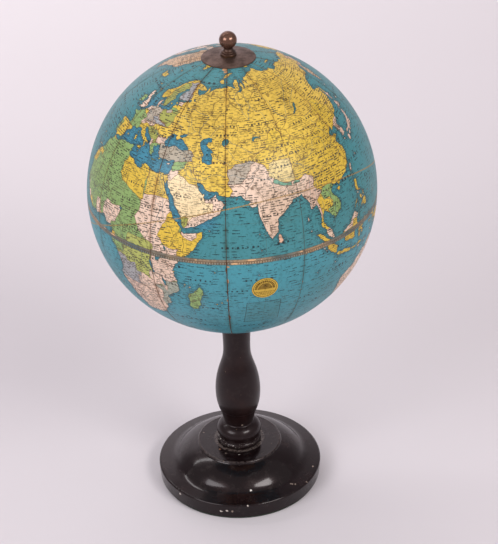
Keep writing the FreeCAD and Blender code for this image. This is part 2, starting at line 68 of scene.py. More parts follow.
# ---- the map: coasts and borders as longitude,latitude ---------------------------------
# Each land is (colour, coast, [(colour, region outline), ...]). A region is clipped by its land's
# coast, and a later region covers an earlier one, so shared borders are drawn once.
LANDS = {
"africa": ("green", """-5.9,35.8 -5.3,35.9 -4.5,35.2 -3,35.3 -2,35.1 -1,35.7 0,35.9 1.3,36.5 3,36.9 5,36.8
6.5,37 8,36.9 9.7,37.3 11,37 10.6,36.2 11.1,35.2 10.1,34.2 11,33.4 12.5,32.8 14,32.8 15.2,32.3 15.7,31.4
18,30.5 19.5,30.4 20.1,31 20,32.2 21.6,32.9 23.1,32.6 24.9,31.8 27,31.2 29,30.9 30.5,31.5 31.8,31.5
32.4,31.3 32.5,29.9 32.7,29 33.6,27.8 34,26.6 35,24.8 35.6,23.9 36.9,22 37.2,21 37.3,19.6 38.5,18.1
39.2,16 40,15.1 41.2,14.6 42.4,13 43.2,12.3 42.8,11.5 44,10.5 45.8,10.8 47.5,11.1 49,11.3 51.2,11.9
51.1,10.5 50.8,9.3 49.8,8 48.6,5.8 47.5,4.2 46,2.5 44.5,1.5 43,0 42,-1 41.3,-2 40.2,-2.6 39.6,-4.2
38.9,-5.8 39.5,-7 39.4,-8.5 40.4,-10.3 40.6,-12.5 40.7,-15 39.8,-16.3 38.2,-17.2 36.8,-18.2 35.3,-19.3
34.8,-20.2 35.5,-21.5 35.5,-23.5 34.8,-24.7 33,-25.4 32.8,-26.5 32.6,-28 31.5,-29.4 30.4,-31 28.5,-32.8
26.5,-33.8 25.7,-34 23.4,-34.1 22,-34.1 20,-34.8 18.9,-34.4 18.4,-34.2 18.3,-32.7 18.2,-31.7 17,-29.5
16.4,-28.6 15.2,-26.9 14.6,-24.5 14.4,-22.5 13.4,-20.8 12.5,-18.6 11.8,-17.2 12,-15.5 13,-13.8 13.8,-12
13.7,-10.6 13.2,-9 12.4,-6.5 11.8,-4.8 10,-2.8 9.1,-1.3 9.4,0.4 9.7,1.5 9.8,3.1 8.8,4.5 7,4.4 6,4.3 5,5.8
4.2,6.4 2.5,6.3 1,5.9 -0.5,5.3 -2,4.7 -4,5.2 -6,4.8 -7.6,4.4 -9.2,5.6 -11.4,6.9 -12.6,7.8 -13.3,9
-14.6,10.8 -16,12 -16.8,13 -17.4,14.7 -16.6,15.8 -16.3,18 -16.2,19.5 -17,21 -16.5,22.6 -15.8,24 -14.9,25.8
-13.8,26.7 -12.9,28 -11,28.8 -9.8,30 -9.7,31.5 -8.5,33.2 -6.9,34.1 -6.2,35""", [
    ("yellow", "-6.5,36 -2.8,35.5 -3,34.9 -6.4,35"),
    ("yellow", "-13,27.7 -8.7,27.7 -8.7,26 -12,26 -12,23.5 -13,21.4 -18,20.8 -18,24"),
    ("yellow", "11.5,33.4 10.3,31 9.5,30 10,27 9.5,26 12,23.5 15,23 24,19.5 25,20 25,33 20,34"),
    ("gold", "25,32.5 25,22 38,22 35,27 32.6,29.9 32.4,32"),
    ("pink", """25,22 37.5,22 38.4,18.2 37,17 36.5,14.3 35,12.7 34.1,10.5 33,8 34,7 35.3,5.4 34,4.2 31,3.7
29.5,4.5 27.4,5.1 24,8.7 23,10.8 22,12.8 24,15.6 24,19.5 25,20"""),
    ("yellow", """37,17 38.4,18.3 42,15 43.6,12.5 41.8,11 42.9,10.2 44,9 47,8 49,9.5 49,12 52,12.5 52,9
44,-1.5 41.6,-1.8 41,-0.8 41,2.8 41.9,3.9 39.5,3.5 36,4.5 34.1,7 33,8 34.1,10.5 35,12.7 36.5,14.3"""),
    ("pink", "43.2,11.7 42.9,10.2 44,9 47,8 49,9.5 49,12 46,12"),
    ("green", "42.3,12.8 43.8,12.5 43.3,11.4 41.8,11"),
    ("pink", """34,4.2 34.5,1 33.9,-1 37.7,-3.5 39.3,-4.9 41.6,-2.2 41,-0.8 41,2.8 41.9,3.9 39.5,3.5
36,4.5"""),
    ("pink", "29.6,-1.3 33.9,-1 34.5,1 34,4.2 31,3.7 31.2,2.2 29.8,0.5"),
    ("pink", """30.4,-1.1 33.9,-1 37.7,-3.5 39.2,-4.7 42,-6 41.4,-10.4 37.5,-11.6 34.6,-11.5 33,-9.4
30.8,-8.3 29.3,-4.4"""),
    ("moss", """11.5,-5.9 12.6,-4.8 16,-4.5 16.2,-2 18,0.5 18.5,3.5 19,5 23,4.7 27.4,5.1 29.5,4.5 31,3.7
31.2,2.2 29.8,0.5 29.6,-1.3 29.2,-3 29.3,-4.4 30.8,-8.3 28.6,-8.5 28.4,-11.8 29.8,-13.4 28,-12.4
25.5,-11.2 24,-11 22,-11.2 21.8,-7.3 17.5,-8 16.5,-5.9"""),
    ("yellow", "9,2.3 11.3,2.2 11.3,1 9,1"),
    ("pink", """2.7,5.8 2.8,9 3.6,11.7 5.5,13.8 9,12.8 13.6,13.7 14.2,12.4 13,9.5 11.5,6.6 9,6 8.6,4
6,3.5"""),
    ("pink", "-3.2,4.5 -2.8,11 0,11.1 0.5,8 1.2,5.5 -1,4"),
    ("yellow", "-11.7,6.7 -9.5,8.5 -8.3,7.5 -7.5,4"),
    ("pink", "-13.6,9.1 -12,10 -10.5,9 -10.6,8 -11.5,6.6 -13.4,7.3"),
    ("grey", "-17,12.4 -13.7,12.6 -14,11.6 -15.4,10.6"),
    ("lilac", """11,-5.9 16.5,-5.9 17.5,-8 21.8,-7.3 22,-11.2 24,-11 24,-13 22,-13 22,-16.2 23.3,-17.6
21,-18 14,-17.4 11,-17.3"""),
    ("rose", """11,-17.3 14,-17.4 21,-18 25,-17.8 25,-18.2 21,-18.4 21,-22 20,-22 20,-28.4 15.5,-28.7
13,-22"""),
    ("pink", """15.5,-28.7 20,-28.4 20,-24.8 20.8,-26.8 23,-25.3 25.5,-25.7 26.8,-24.5 29.3,-22.2
31.3,-22.4 32,-25 34,-27 31,-36 17,-36"""),
    ("pink", """20,-22 21,-22 21,-18.4 25.3,-17.8 27.7,-20.5 29.3,-22.2 26.8,-24.5 25.5,-25.7 23,-25.3
20.8,-26.8 20,-24.8"""),
    ("pink", """22,-16.2 22,-13 24,-13 24,-11 25.5,-11.2 28,-12.4 29.8,-13.4 28.4,-11.8 28.6,-8.5
30.8,-8.3 33,-9.4 33.3,-12.5 32.8,-14 30.3,-15 28.8,-16 25.3,-17.8 23.3,-17.6"""),
    ("pink", "25.3,-17.8 28.8,-16 30.4,-15.9 33,-17.5 32.5,-21.3 31.3,-22.4 29.3,-22.2 27.7,-20.5"),
    ("pink", "33,-9.4 34,-9.5 34.7,-11.6 35.8,-14.5 35.3,-17 34.4,-16 34.3,-14.7 33,-14"),
    ("sage", """42,-10.4 37.5,-11.6 34.7,-11.6 35.8,-14.5 35.3,-17 34.4,-16 34.3,-14.7 30.3,-15 30.4,-15.9
33,-17.5 32.5,-21.3 31.3,-22.4 32,-25 32,-26.8 34,-26.8 37,-24 37,-20 42,-16"""),
]),
"eurasia": ("gold", """-5.6,36 -4.4,36.7 -2.2,36.7 -0.7,37.6 0.1,38.7 -0.3,39.5 0.8,40.8 3.2,41.9 3.1,43.1
4.5,43.4 6.3,43.1 7.5,43.8 8.8,44.4 10.2,43.9 10.5,42.9 12.3,41.7 14,40.8 15.6,40 16.1,38.8 15.7,37.9
16.6,38.4 17.1,39 16.6,39.7 17,40.5 18.4,39.9 18.4,40.4 17,41.1 16,41.9 15.2,41.9 14,42.7 13.6,43.6
12.4,44.3 12.4,45.4 13.6,45.6 13.6,44.9 14.5,45.2 15.3,44 16.5,43.4 18,42.6 19.4,41.8 19.4,40.6 20.3,39.3
21.2,38.3 21.7,37 22.5,36.6 23.1,36.5 23.2,37.4 24,37.7 22.8,38.9 22.7,40.2 23.8,40 24.3,40.3 24,40.8
26,40.8 26.2,40.1 26.1,39.6 26.7,39.3 26.4,38.3 27.3,37.5 27.7,36.7 29,36.5 30.5,36.5 31.8,36.5 33,36.1
34.5,36.8 36,36.8 35.9,35.5 35.5,33.8 34.7,32 34.2,31.3 33,31.1 32.3,31.2 32.6,29.9 33.1,28.6 34.2,27.8
34.9,29.4 35,28.2 36.5,26.1 37.3,24.6 38.6,23.3 39.1,21.7 40,20.2 41.2,18.5 42.3,17 42.8,15.5 43.2,13.5
43.5,12.7 45,12.9 47,13.5 48.7,14 51,15.3 52.3,16.1 54.5,17 55.3,17.7 56.5,18.2 57.8,19 58.7,20.4
59.8,22.4 58.8,23.5 57.3,23.9 56.4,24.8 56.2,26.2 55.4,25.4 54,24.2 51.8,24.2 51.2,24.7 51.6,25.6
51.2,26.1 50.7,25.5 50.1,26.5 49,27.5 48.2,29 48,30 49.5,30.1 50.7,29.2 51.5,27.9 53.5,26.8 55,26.9
56.3,27.2 57.1,26.8 57.3,25.7 59,25.4 61.6,25.2 64,25.3 66.5,25.4 67.3,24.3 68.3,23.6 70.2,23 69,22.3
70.3,20.9 72.2,21.2 72.7,22.2 72.8,20.5 72.9,18.5 73.5,16.2 74.5,14 75.2,12 76.3,9.8 77.5,8.1 78.2,8.9
79.3,10.2 79.9,10.4 79.9,12 80.3,13.5 80.2,15.3 81.2,16.2 82.3,16.7 84,18.3 85.6,19.7 87,20.8 87.3,21.5
88.5,21.7 90.2,22 91.5,22.6 92.3,20.8 93.6,19.6 94.5,18 94.3,16 95.3,15.8 96.2,16.4 97.2,16.9 97.7,15.2
98.5,13 98.6,11 98.3,9.3 98.3,8 99.5,6.8 100.3,6 100.7,4 101.4,2.8 103.4,1.3 104.2,1.5 103.4,3.6 103.2,4.9
102.1,6.2 101,6.9 100.2,8.4 99.3,9.4 99.4,11.3 100,12.8 100.1,13.4 100.9,13.4 101.7,12.7 102.8,12
103.6,10.7 104.9,10 104.8,8.7 106.7,10.2 109,11.4 109.3,13.5 108.3,16 106.8,17.5 105.8,18.8 105.8,20
106.7,20.8 108,21.6 109.8,21.5 110.4,20.4 111.8,21.6 113.5,22.2 115,22.8 116.8,23.3 118.5,24.6 119.7,25.8
120.8,28 121.9,29.2 121.7,30.8 121.9,31.8 120.5,33.5 119.3,35 120.7,36.2 122.5,37 121,37.7 119,37.3
117.8,38.6 118.5,39.1 121,40.7 121.3,39 122.5,39.6 124.4,40 125.3,38.8 125,37.9 126.6,37.5 126.4,36
126.4,34.6 127.5,34.7 129.2,35.2 129.4,37 127.6,39.4 129.8,40.9 130.7,42.3 132.3,43.2 135,43.8 137.5,46
139.5,48 140.5,50 140.6,52 141.3,53.2 139.5,54.1 137.6,54 135.3,54.8 138,56.8 142,59 145,59.4 149,59.6
152,59.1 154.5,59.7 156.5,61.5 160,61.8 163,62.3 162.7,61 160,60 157,58 155.7,56 156,53 156.7,51
158.3,52.8 160,54.5 162,56 163.3,58 163.5,59.8 166,60.2 170,60 174,61.8 177,62.5 179.3,63 177.5,64.5
180,65.2 184.5,64.4 188,65.6 190,66.1 186,67.1 181,68.8 178,69.4 172,69.9 167,69.6 161,69.6 160,70.7
153,71 147,72.4 140,72.5 137,71.5 131,71 127,73.5 119,73.1 113,73.8 107,77 104,77.7 98,76.2 92,76 89,75.3
86,74.3 81,73.6 80.5,72.4 83,71 82.3,70.4 80,72 78,72.3 77.8,71 79,68.4 77,67.6 77.3,70 75.5,71.2 76,72.6
74.8,72.8 74.5,70.5 73.6,69.6 74.6,68.6 74.5,67 72.6,66.3 69.5,66.5 72,67 73.4,68.2 72.6,69.5 73.2,71
72.5,72.9 69,72.8 68.2,71.7 66.8,70.8 67.3,69.4 68.9,68.8 68.2,68.2 66,68.9 64.5,69.3 60.5,69.7 60.8,68.6
58.7,68.9 57,68.7 54.5,68.2 53.5,68.9 52,68.5 48,67.6 46,66.8 44.2,66 44.3,68.4 43,68.4 42,66.4 40,64.8
37,63.9 34.8,64.4 32.8,66.9 36,66.3 41,66.5 41,67.5 36,69.1 31,69.7 28.5,71 25.5,71 21,70.2 17,68.8
14.5,67.5 12.5,65.5 10,63.7 6,62.4 5,61 5.2,59.3 6.5,58.1 8.5,58.2 10.5,59.2 11.2,58.8 12.5,56.5 13,55.5
14.3,55.5 16.2,56.6 16.8,58.5 18.8,59.9 17.3,61 17.6,62.5 20.5,63.8 21.8,65.3 24.2,65.8 25.3,65 22.5,63.6
21.3,62 21.4,60.8 22.9,59.9 25,60.2 28,60.5 29.8,60 28,59.5 25,59.5 23.5,58.8 24.3,57.8 24,57.1 22.5,57.7
21.1,56.8 21,55.3 19.8,54.5 18.6,54.5 16.5,54.5 14.2,53.9 12.3,54.4 10.9,54 10,55 10.6,57.6 8.2,57
8.1,55.6 8.8,54 7,53.5 5,53.3 4.2,52.2 3.3,51.4 1.7,50.9 0.3,49.8 -1.3,49.6 -1.6,48.7 -4.6,48.6 -4.4,47.9
-2.3,47.2 -1.2,45.8 -1.3,44 -1.8,43.4 -4,43.5 -8,43.7 -9.2,42.9 -8.7,41.5 -9.4,38.7 -8.8,37.1 -7.3,37.1
-6.3,36.6""", [
    ("olive", """10.5,58.5 10.5,60 10,64 15,68 20.5,69 23.6,68 24.1,65.7 21.5,64 19,62.5 20,60 18,56.5
14.5,54.8 12.6,55 12,57"""),
    ("yellow", """31.5,70.2 28.8,69.2 28,70 25.7,69.2 23.8,68.8 21,69.2 20,68.4 18,68.2 16,67 15.2,66
14.3,64.7 12.2,63.6 12.2,61.7 12.8,61 12,59.8 11.4,59 10.5,57.5 3,58 3,63 12,69 20,72 30,72"""),
    ("lilac", """20.6,69.1 22,68.5 23.6,68 24.1,65.7 21,63.5 20.5,60.5 22.9,59.5 28,60 30.2,60.6 31.6,62.4
31.3,63.2 30,64.4 30,65.7 29.1,66.9 30,67.7 28.6,68.2 28.8,69 31,69.9 28,69.9 25.7,69.1 23.8,68.7"""),
    ("rose", "22,59.8 28,59.8 27.6,57.6 24.4,57.9 22,58.2"),
    ("yellow", "20.5,58 24.4,57.9 27.6,57.6 28.2,56.2 26.6,55.7 24.5,56.3 20.5,56.1"),
    ("green", "20.5,56.1 24.5,56.3 26.6,55.7 25.7,54.9 24,54 22.8,54.9 20.5,55.3"),
    ("olive", """16.3,55 18.4,55 18.8,53.7 20,53.3 22.5,53.8 22.8,54.3 24.5,54 26,55.2 28,56 27.8,54
26.8,52.5 27.5,51 26.5,49.5 25.5,48 23,49 21,49.4 19,49.5 18,50.2 16.5,50.8 15.5,51.8 15.8,53.1"""),
    ("grey", """6,51.8 7,54 8.6,54.9 10,54.9 11,54.2 14,54.6 16.3,55 15.8,53.1 15.5,51.8 16.5,50.8 18,50.2
17,49.9 16.2,50.4 14.8,50.9 12.3,50.2 13.8,48.8 13,47.5 9.6,47.5 7.6,47.6 8.2,49 6.3,49.3"""),
    ("grey", "19.2,54.8 21,55.4 22.8,54.9 22.8,54.3 22.5,53.8 20,53.3 18.9,53.7"),
    ("pink", "9.6,47.4 10.5,46.8 13,46.6 16,46.8 17,48 15,49 13.8,48.8 13,47.6"),
    ("lilac", """12.3,50.2 14.8,50.9 16.2,50.4 17,49.9 18.8,49.5 22.5,49.1 24.5,48 22.3,48.2 20,48.2
17.2,48 15,48.9 13.8,48.8"""),
    ("yellow", "16.2,46.8 17.2,48 20,48.2 22.8,48.1 21.5,46.3 18.8,45.9 16.8,46.4"),
    ("lemon", """20.5,46 22.8,48 24.8,47.9 26.5,48.3 27.6,48.4 30,46.4 30.2,45.2 28.6,43.8 27,44.1 22.8,44
21.4,45"""),
    ("rose", "22.6,43.9 27,44.1 28.8,43.7 28.2,42 26.5,41.9 25,41.3 23,41.4 22.4,42.4"),
    ("olive", """13.4,46.5 16,46.7 18.8,45.9 20.8,45.9 22.4,44.5 22.5,42.5 22.9,41.3 20.7,40.9 20,42.5
18.5,42.2 15,44 13.5,45.2"""),
    ("rose", "19,42.1 20.5,42.3 21,40.8 20.2,39.7 19,40"),
    ("green", "20.2,39.7 21,40.8 23,41.3 25,41.3 26.3,41.5 26.2,40.5 24.8,39 25,36 21,36 19.6,38.5"),
    ("yellow", """7,43.6 7,45.9 9,46.1 10.5,46.8 13.7,46.5 13.7,45.5 12.8,44.5 16,42.5 19,40.6 19,39 16,37
11,40 9,43.6"""),
    ("rose", "6,46.2 7,47.6 9.6,47.4 10.3,46.7 9,45.9 7,45.9"),
    ("green", """-1.9,43.3 3.3,42.4 6,42.5 7.6,43.5 7,45.9 6,46.2 7,47.5 8,49 6,49.5 4,50 2.5,51.3 -2,50.4
-6,48.5 -3,45.5"""),
    ("yellow", "2.5,51.3 3.3,51.6 5.8,51.2 6.3,50.3 5.8,49.5 4.1,50"),
    ("pink", "3.3,51.6 4,53.7 7.1,53.8 7,52.2 5.9,51.1"),
    ("rose", "7.5,54.9 9.9,54.8 11,55 11,58 7.8,57.5"),
    ("yellow", """-9.8,44.2 -2,44 -1.8,43.3 3.3,42.4 4.5,40 0.8,37.8 -2,36 -5.4,35.8 -7.4,36.6 -7.3,38.5
-7,41 -9,42"""),
    ("green", "-9.8,42 -8.2,42.1 -6.3,41.8 -7,39.7 -7.2,38.3 -7.4,36.8 -9.2,36.5 -10,38.5"),
    ("mauve", """26,41.8 28.2,42.1 29,41.4 33,42.6 38,41.4 41.5,41.5 43.5,41.1 44.7,39.7 44.3,38 44.6,37.2
42.3,37.2 40,36.8 38,36.8 36.6,36.3 35.6,35.9 32,35.7 27,36 25.5,39 26,40.6"""),
    ("green", """35.4,35.9 36.6,36.3 38,36.8 40,36.8 42.3,37.2 41.2,34.5 38.8,33.4 36,32.6 35.7,33.3
34.8,33.3"""),
    ("pink", "34,31.3 34.9,29.5 36,29.3 37.5,31 39,32.2 38.8,33.4 36,32.6 35.6,33.3 34.8,33.3"),
    ("cream", """34.9,29.5 36,29.3 37.5,31 39,32.1 42,31.2 44.7,29.2 46.4,29.1 48.6,28.4 52,26.5 52,24
60,26.5 61,22 57,17 45,12 40,13 34.5,27.8"""),
    ("yellow", """38.9,33.3 41.2,34.5 42.3,37.2 44.6,37.2 45.8,35.8 46,33.5 47.8,31 48.6,30 48.4,29.6
46.4,29.1 44.7,29.2 42,31.2 39,32.1"""),
    ("lemon", """44.5,39.8 46.5,38.8 48.6,38.4 51,37.2 54,37.4 57,38.2 61,36.5 61,35 60.8,33.5 61.7,31.3
61,29.8 63.2,27.2 61.7,24.5 57,25 56.4,26.6 50,28.8 48.5,29.9 47.8,31 46,33.4 45.7,35.8 44.6,37.2
44.3,38.5"""),
    ("grey", """61.2,35.2 63,35.5 64.7,37.1 67.5,37.2 69.5,37.3 71.5,38 74,37.3 71.2,36.2 71.3,34.5
69.5,33 69.3,31.8 66.5,29.8 63,29.5 61,29.8 61.8,31.3 60.8,33.5"""),
    ("olive", "42.5,16.5 44,17.4 45.5,16.5 45,13.8 43.4,12.4 42,14"),
    ("pink", """45,13.8 45.5,15 47,17 52,19 55,20 55.2,22.6 52,22.8 51.5,24.3 52,25 56.2,27 61,22.5 57,17
52,14 45,12 43.4,12.4"""),
    ("yellow", """73.7,39.5 74.9,37.3 77.8,35.5 79,33 79,31.3 92,27.8 97.4,28.3 98.7,27.5 97.7,24
99.2,22.2 101.1,21.5 102.2,22.5 104,22.7 106.7,22.3 108,21.4 110,19.5 118,21 126,31 123,37.5 124.3,40
126.8,41.7 128.2,42 130.7,42.3 131,45 135,48.4 131,47.8 127.8,49.8 126,52.8 121,53.3 119.8,50 116.7,49.8
115.6,47.8 119.8,46.8 112,43.5 105,41.6 97,42.7 91,45 87.8,49.1 85.5,48.4 83,47.2 82.5,45.3 80.2,45
80.3,42.2 76.5,40.5"""),
    ("yellow", """121.3,40.9 119.8,42 119,45 119.8,46.8 116,48 117,49.7 119.8,50 121,53.3 126,52.8
127.8,49.8 131,47.8 135,48.4 131,45 130.7,42.3 128.2,42 126.8,41.7 124.3,40 122,38.6 120.8,38.7"""),
    ("lemon", """87.8,49.1 92.3,50.8 98,50.5 98.3,52 102.3,51.4 106.5,50.3 110.5,49.2 116.7,49.8
115.6,47.8 119.8,46.8 112,43.5 105,41.6 97,42.7 91,45"""),
    ("butter", "78.8,31.5 79,33 80,36.2 84,36.6 90.1,36.6 90.1,27.9 88,28 84,28.6 81,30.3"),
    ("pink", """61.7,24.5 61.7,25.2 63.2,27.2 61,29.8 63,29.5 66.5,29.8 69.3,31.8 69.5,33 71.3,34.5
71.2,36.2 74,37.3 77.8,35.5 79,33 79,31.3 81,30.2 84,28.5 88,27.9 92,27.8 95,29.3 97.4,28.3 94.5,25
92.7,22 92,20.5 90,18 82,13 80,7 76,6 72,15 67,20 66,24"""),
    ("rose", """92,20.5 92.7,22 94.5,25 97.4,28.3 98.7,27.5 97.7,24 99.2,22.2 101.1,21.5 100,20.3
97.8,18.5 98.6,16 99.3,13 98.8,9.8 97,9.5 93,15"""),
    ("mint", "80.2,29 81,30.2 84,28.6 88.1,27.9 88.1,26.5 84,27.2 80.5,28.6"),
    ("mint", "88.9,27.3 90,28.1 92,27.8 92,26.9 89,26.8"),
    ("rose", "124,40 126.8,41.7 128.2,42 130.9,42.4 131,41 131,36 128,33.5 125,34 124,38"),
    ("green", """102.2,22.5 104,22.7 106.7,22.3 108.2,21.4 108,19 111,12 106,8 103.5,8.5 103,10.5
102.3,13.5 105.2,14.5 105.5,16 104,18 101.2,17.7 100.1,20.3 101.1,21.5"""),
    ("yellow", """97.8,18.5 100,20.3 101.2,17.7 104,18 105.5,16 105.2,14.5 102.3,13.5 102.9,11.5 101,12
100,10 100.8,7 102.2,6.4 101,5.8 99.7,6.6 97.5,7.5 98.4,10.2 99.3,13 98.6,16"""),
    ("pink", "99.5,6.8 99.7,6.6 101,5.8 102.2,6.4 105,4 105,1 103,0.5 99.5,3"),
    ("gold", "32.2,31.4 34.3,31.4 35,29.4 34.3,27.5 32.4,29.5"),
    ("tan", "155.5,50 155.5,57.5 160.5,60.5 162.5,62.6 171,61 171,66 178,66 192,68 192,62 165,58 161,50"),
]),
"britain": ("pink", """-5.6,50.1 -3.5,50.3 -1,50.7 1.3,51.1 0.9,51.7 1.7,52.6 0.3,53 -0.1,54 -1.5,55 -2,56
-3,56.2 -2,57.5 -4,57.8 -3.1,58.6 -5,58.6 -5.8,57.3 -5.5,56 -4.8,54.8 -3.1,54.9 -3,53.6 -4.5,53.3
-4.2,52.3 -5.2,51.8 -3,51.4 -4.4,51""", []),
"ireland": ("green", """-6,52.2 -9.8,51.5 -10,52.4 -9.2,53.3 -10,54.2 -8.3,55.1 -6.2,55.2 -5.5,54.4
-6.1,53.4""", []),
"iceland": ("yellow", """-22.5,64 -19,63.4 -15,64.3 -13.6,65 -15,66.2 -18,66.1 -20.5,65.8 -22.5,66.4
-24.3,65.6 -22,65""", []),
"svalbard": ("yellow", "11,78.8 14,77 17,76.7 21,78.5 27,80 18,80.3 12,79.8", []),
"novaya_south": ("gold", "51.5,71.8 55,70.7 57.5,70.7 55.8,73.2 53,73", []),
"novaya_north": ("gold", "54,73.5 58,74 64,76 68.5,76.8 66,77 60,76.3 56,75", []),
"franz_josef": ("gold", "50,80.3 60,80.3 58,81.2 50,81", []),
"severnaya": ("gold", "95,79 100,78.8 104,79.2 98,81 93,80", []),
"new_siberia": ("gold", "138,75.5 144,75 150,75.2 145,76 138,76", []),
"wrangel": ("gold", "179,71 182,71 181.5,71.5 179,71.5", []),
"sakhalin": ("gold", """142,54.3 143,52 143.3,49.5 144.5,49 142.7,47.5 143.4,46.8 142,46 142,48 142,50
141.8,53""", [
    ("rose", "141,50 145,50 145,45 141,45"),
]),
"hokkaido": ("rose", "140,41.5 141,42.5 143.2,42 145.3,43.3 142,45.4 141.3,43.3 140,42.5", []),
"honshu": ("rose", """141,41.4 141.5,41.3 142,39.5 141,38.2 140.8,35.8 139.8,35.2 138.5,34.7 137,34.7
135.8,33.5 135,34.6 132.5,34.3 131,34.1 132.8,35.5 135.5,35.6 136.8,37.3 138.5,37.5 139.8,39
140,40.5""", []),
"shikoku": ("rose", "132.3,33.4 133,32.8 134.5,33.7 134,34.3", []),
"kyushu": ("rose", "129.8,33.2 131,33.9 132,33 131.3,31.4 130.3,31.2 129.9,32.5", []),
"formosa": ("rose", "121.5,25.2 121.9,24.8 120.9,22 120.1,23", []),
"hainan": ("yellow", "108.7,19.3 109.7,18.3 111,19.6 110.3,20.1", []),
"luzon": ("yellow", """120.6,18.5 122.2,18.4 121.6,16 121.8,14.2 124,12.7 122.5,13.5 120.7,13.8 120.2,14.8
119.9,16.3 120.4,16.6""", []),
"mindanao": ("yellow", "122,7 123.5,8.7 125.5,9.7 126.4,8 126,6.3 124,6.4 123.5,7.7", []),
"panay": ("yellow", "122,11.8 123.2,11.5 123,9.2 122,10.5", []),
"samar": ("yellow", "124.3,12.5 125.5,12.3 125.2,10.2 124.4,11", []),
"palawan": ("yellow", "117.2,8.4 119.5,11.3 119.7,10.6 117.5,8.2", []),
"borneo": ("yellow", """109,1.8 109.7,2 111.3,2.6 113,3.2 114.8,5 116.9,7 118,6 119.2,5.2 117.8,4 117.9,2
119,1 117.5,0.3 116.5,-1.2 116.2,-3.8 114.5,-4 113,-3.2 111.5,-3.4 110.2,-2.8 110,-1.3 109,0.3""", [
    ("pink", "108.5,2.1 110.5,1 112,1.4 114.8,1.5 115.8,4.2 118,4.2 120,5 117,8 113,5 109,3"),
]),
"celebes": ("yellow", """119.8,0.7 120.8,1.3 123,0.9 125,1.6 123.5,0.4 120.2,0.4 120.8,-1.3 123.3,-0.9
121.8,-1.9 122.8,-4.2 121.6,-4.7 121.5,-2.8 120.4,-3 120.4,-5.5 119.5,-5.4 119.5,-3.5 119,-2.6
119.8,-0.2""", []),
"sumatra": ("yellow", """95.3,5.6 97.5,5.2 100,2.8 103,0.7 103.7,-1 106,-3 105.8,-5.8 104.5,-5.8 102.2,-4
100.4,-1 98.8,1.7 97,3.3""", []),
"java": ("yellow", """105.3,-6.8 106.7,-6 108.5,-6.7 110.8,-6.4 112.6,-6.9 114.4,-7.7 114.4,-8.7 111,-8.3
108.3,-7.8 106.5,-7.4""", []),
"flores": ("yellow", "115,-8.2 117,-8.2 119,-8.3 122.8,-8.2 122.5,-8.7 119.5,-8.8 117,-9 115.1,-8.8", []),
"timor": ("sage", "123.6,-10.3 125,-8.9 127.2,-8.4 126.5,-9 124.5,-10.2", []),
"halmahera": ("yellow", "127.5,1 128.7,1.5 128,-0.5", []),
"ceram": ("yellow", "128,-3 130.8,-3 130.5,-3.7 128,-3.4", []),
"new_guinea": ("yellow", """131,-0.8 134,-0.8 135.2,-3.3 138,-1.7 141,-2.6 144.5,-3.9 147.5,-6 148,-8.2
150.8,-10.3 148,-10 146.2,-8.5 143.5,-8.3 141,-9.1 138,-8.3 138.5,-6.5 135,-4.4 132.8,-4 133.8,-2.4
131.2,-1.5""", [
    ("pink", "141,-1 156,-3 156,-12 141,-10"),
]),
"new_britain": ("pink", "148.5,-5.6 151.5,-4.2 152.3,-4.3 151,-6 149,-6.2", []),
"solomons": ("pink", "155,-6 157,-7.4 160,-9 161.5,-10.5 159,-9.3 156,-7.6", []),
"australia": ("pink", """113.7,-22.5 113.4,-24.3 114.2,-26.3 113.5,-26 114.9,-29.5 115.7,-32 115,-34.2
118,-35 120,-34 123.5,-34 126,-32.3 129,-31.7 131.5,-31.5 134.2,-33 135.7,-34.8 137.9,-33 137.5,-35.2
138.5,-35.3 139.8,-37.2 141.5,-38.4 143.7,-38.8 145,-38 146.4,-39.1 148,-38 150,-37.3 150.8,-34.8
152.5,-32.3 153.5,-29 153.1,-26 151,-23.8 149.5,-22 148.5,-20.3 146.3,-19 145.4,-16.5 143.9,-14.5
142.8,-11 142,-12.5 141.5,-15 140.8,-17.5 139.2,-17.4 137,-15.9 135.5,-15 136.8,-12.3 135,-12 132.7,-11.4
131,-12.2 129.8,-14.8 128,-14.9 126.7,-14 124.5,-16.2 122.3,-17.2 121.5,-19 119,-20 116.7,-20.6
114.2,-21.9""", [
    ("pink", "129,-10 138,-10 138,-26 129,-26"),
    ("pink", "138,-8 155,-8 155,-28.2 141,-29 141,-26 138,-26"),
    ("pink", "141,-29 154,-28.2 154,-37.6 150,-37.4 148,-36.5 141,-34"),
    ("pink", "129,-26 141,-26 141,-40 129,-40"),
]),
"tasmania": ("pink", "144.7,-40.8 148.2,-40.9 147.8,-43.2 146,-43.5", []),
"nz_north": ("pink", """172.8,-34.5 174.8,-36.5 176,-37.6 178.4,-37.7 177,-39.4 175.3,-41.5 174,-39.5
174.8,-38 174.2,-36.2""", []),
"nz_south": ("pink", """172.7,-40.6 174.2,-41.6 172.8,-43.7 170.8,-45.8 168.5,-46.5 166.5,-45.9 168.5,-44
171,-42.5""", []),
"ceylon": ("coral", "79.8,8.5 80.2,9.7 81.2,8.6 81.8,7 80.8,6 80,6.2", []),
"madagascar": ("green", """49.3,-12 50.4,-15.6 49.4,-18 47.1,-25 45,-25.4 43.6,-23.3 44.4,-20 44,-17.5
44.5,-16.2 46.5,-15.5 48,-13.6""", []),
"socotra": ("pink", "53.4,12.6 54.4,12.5 53.8,12.3", []),
"andaman": ("pink", "92.6,13.4 93,12.5 92.8,11.6 92.5,11.8", []),
"kerguelen": ("green", "68.8,-49 70.4,-49.2 69.3,-49.7", []),
"cyprus": ("pink", "32.4,35 33,35.4 34.5,35.6 33.8,34.9", []),
"crete": ("green", "23.6,35.4 26.2,35.2 25,34.9", []),
"sicily": ("yellow", "12.5,38 15.5,38.2 15.1,36.7 12.6,37.6", []),
"sardinia": ("yellow", "8.3,40.9 9.6,41.1 9.6,39.2 8.5,39", []),
"corsica": ("green", "8.6,42.4 9.4,43 9.4,41.5", []),
"zealand": ("rose", "11,55.8 12.5,56 12.4,55", []),
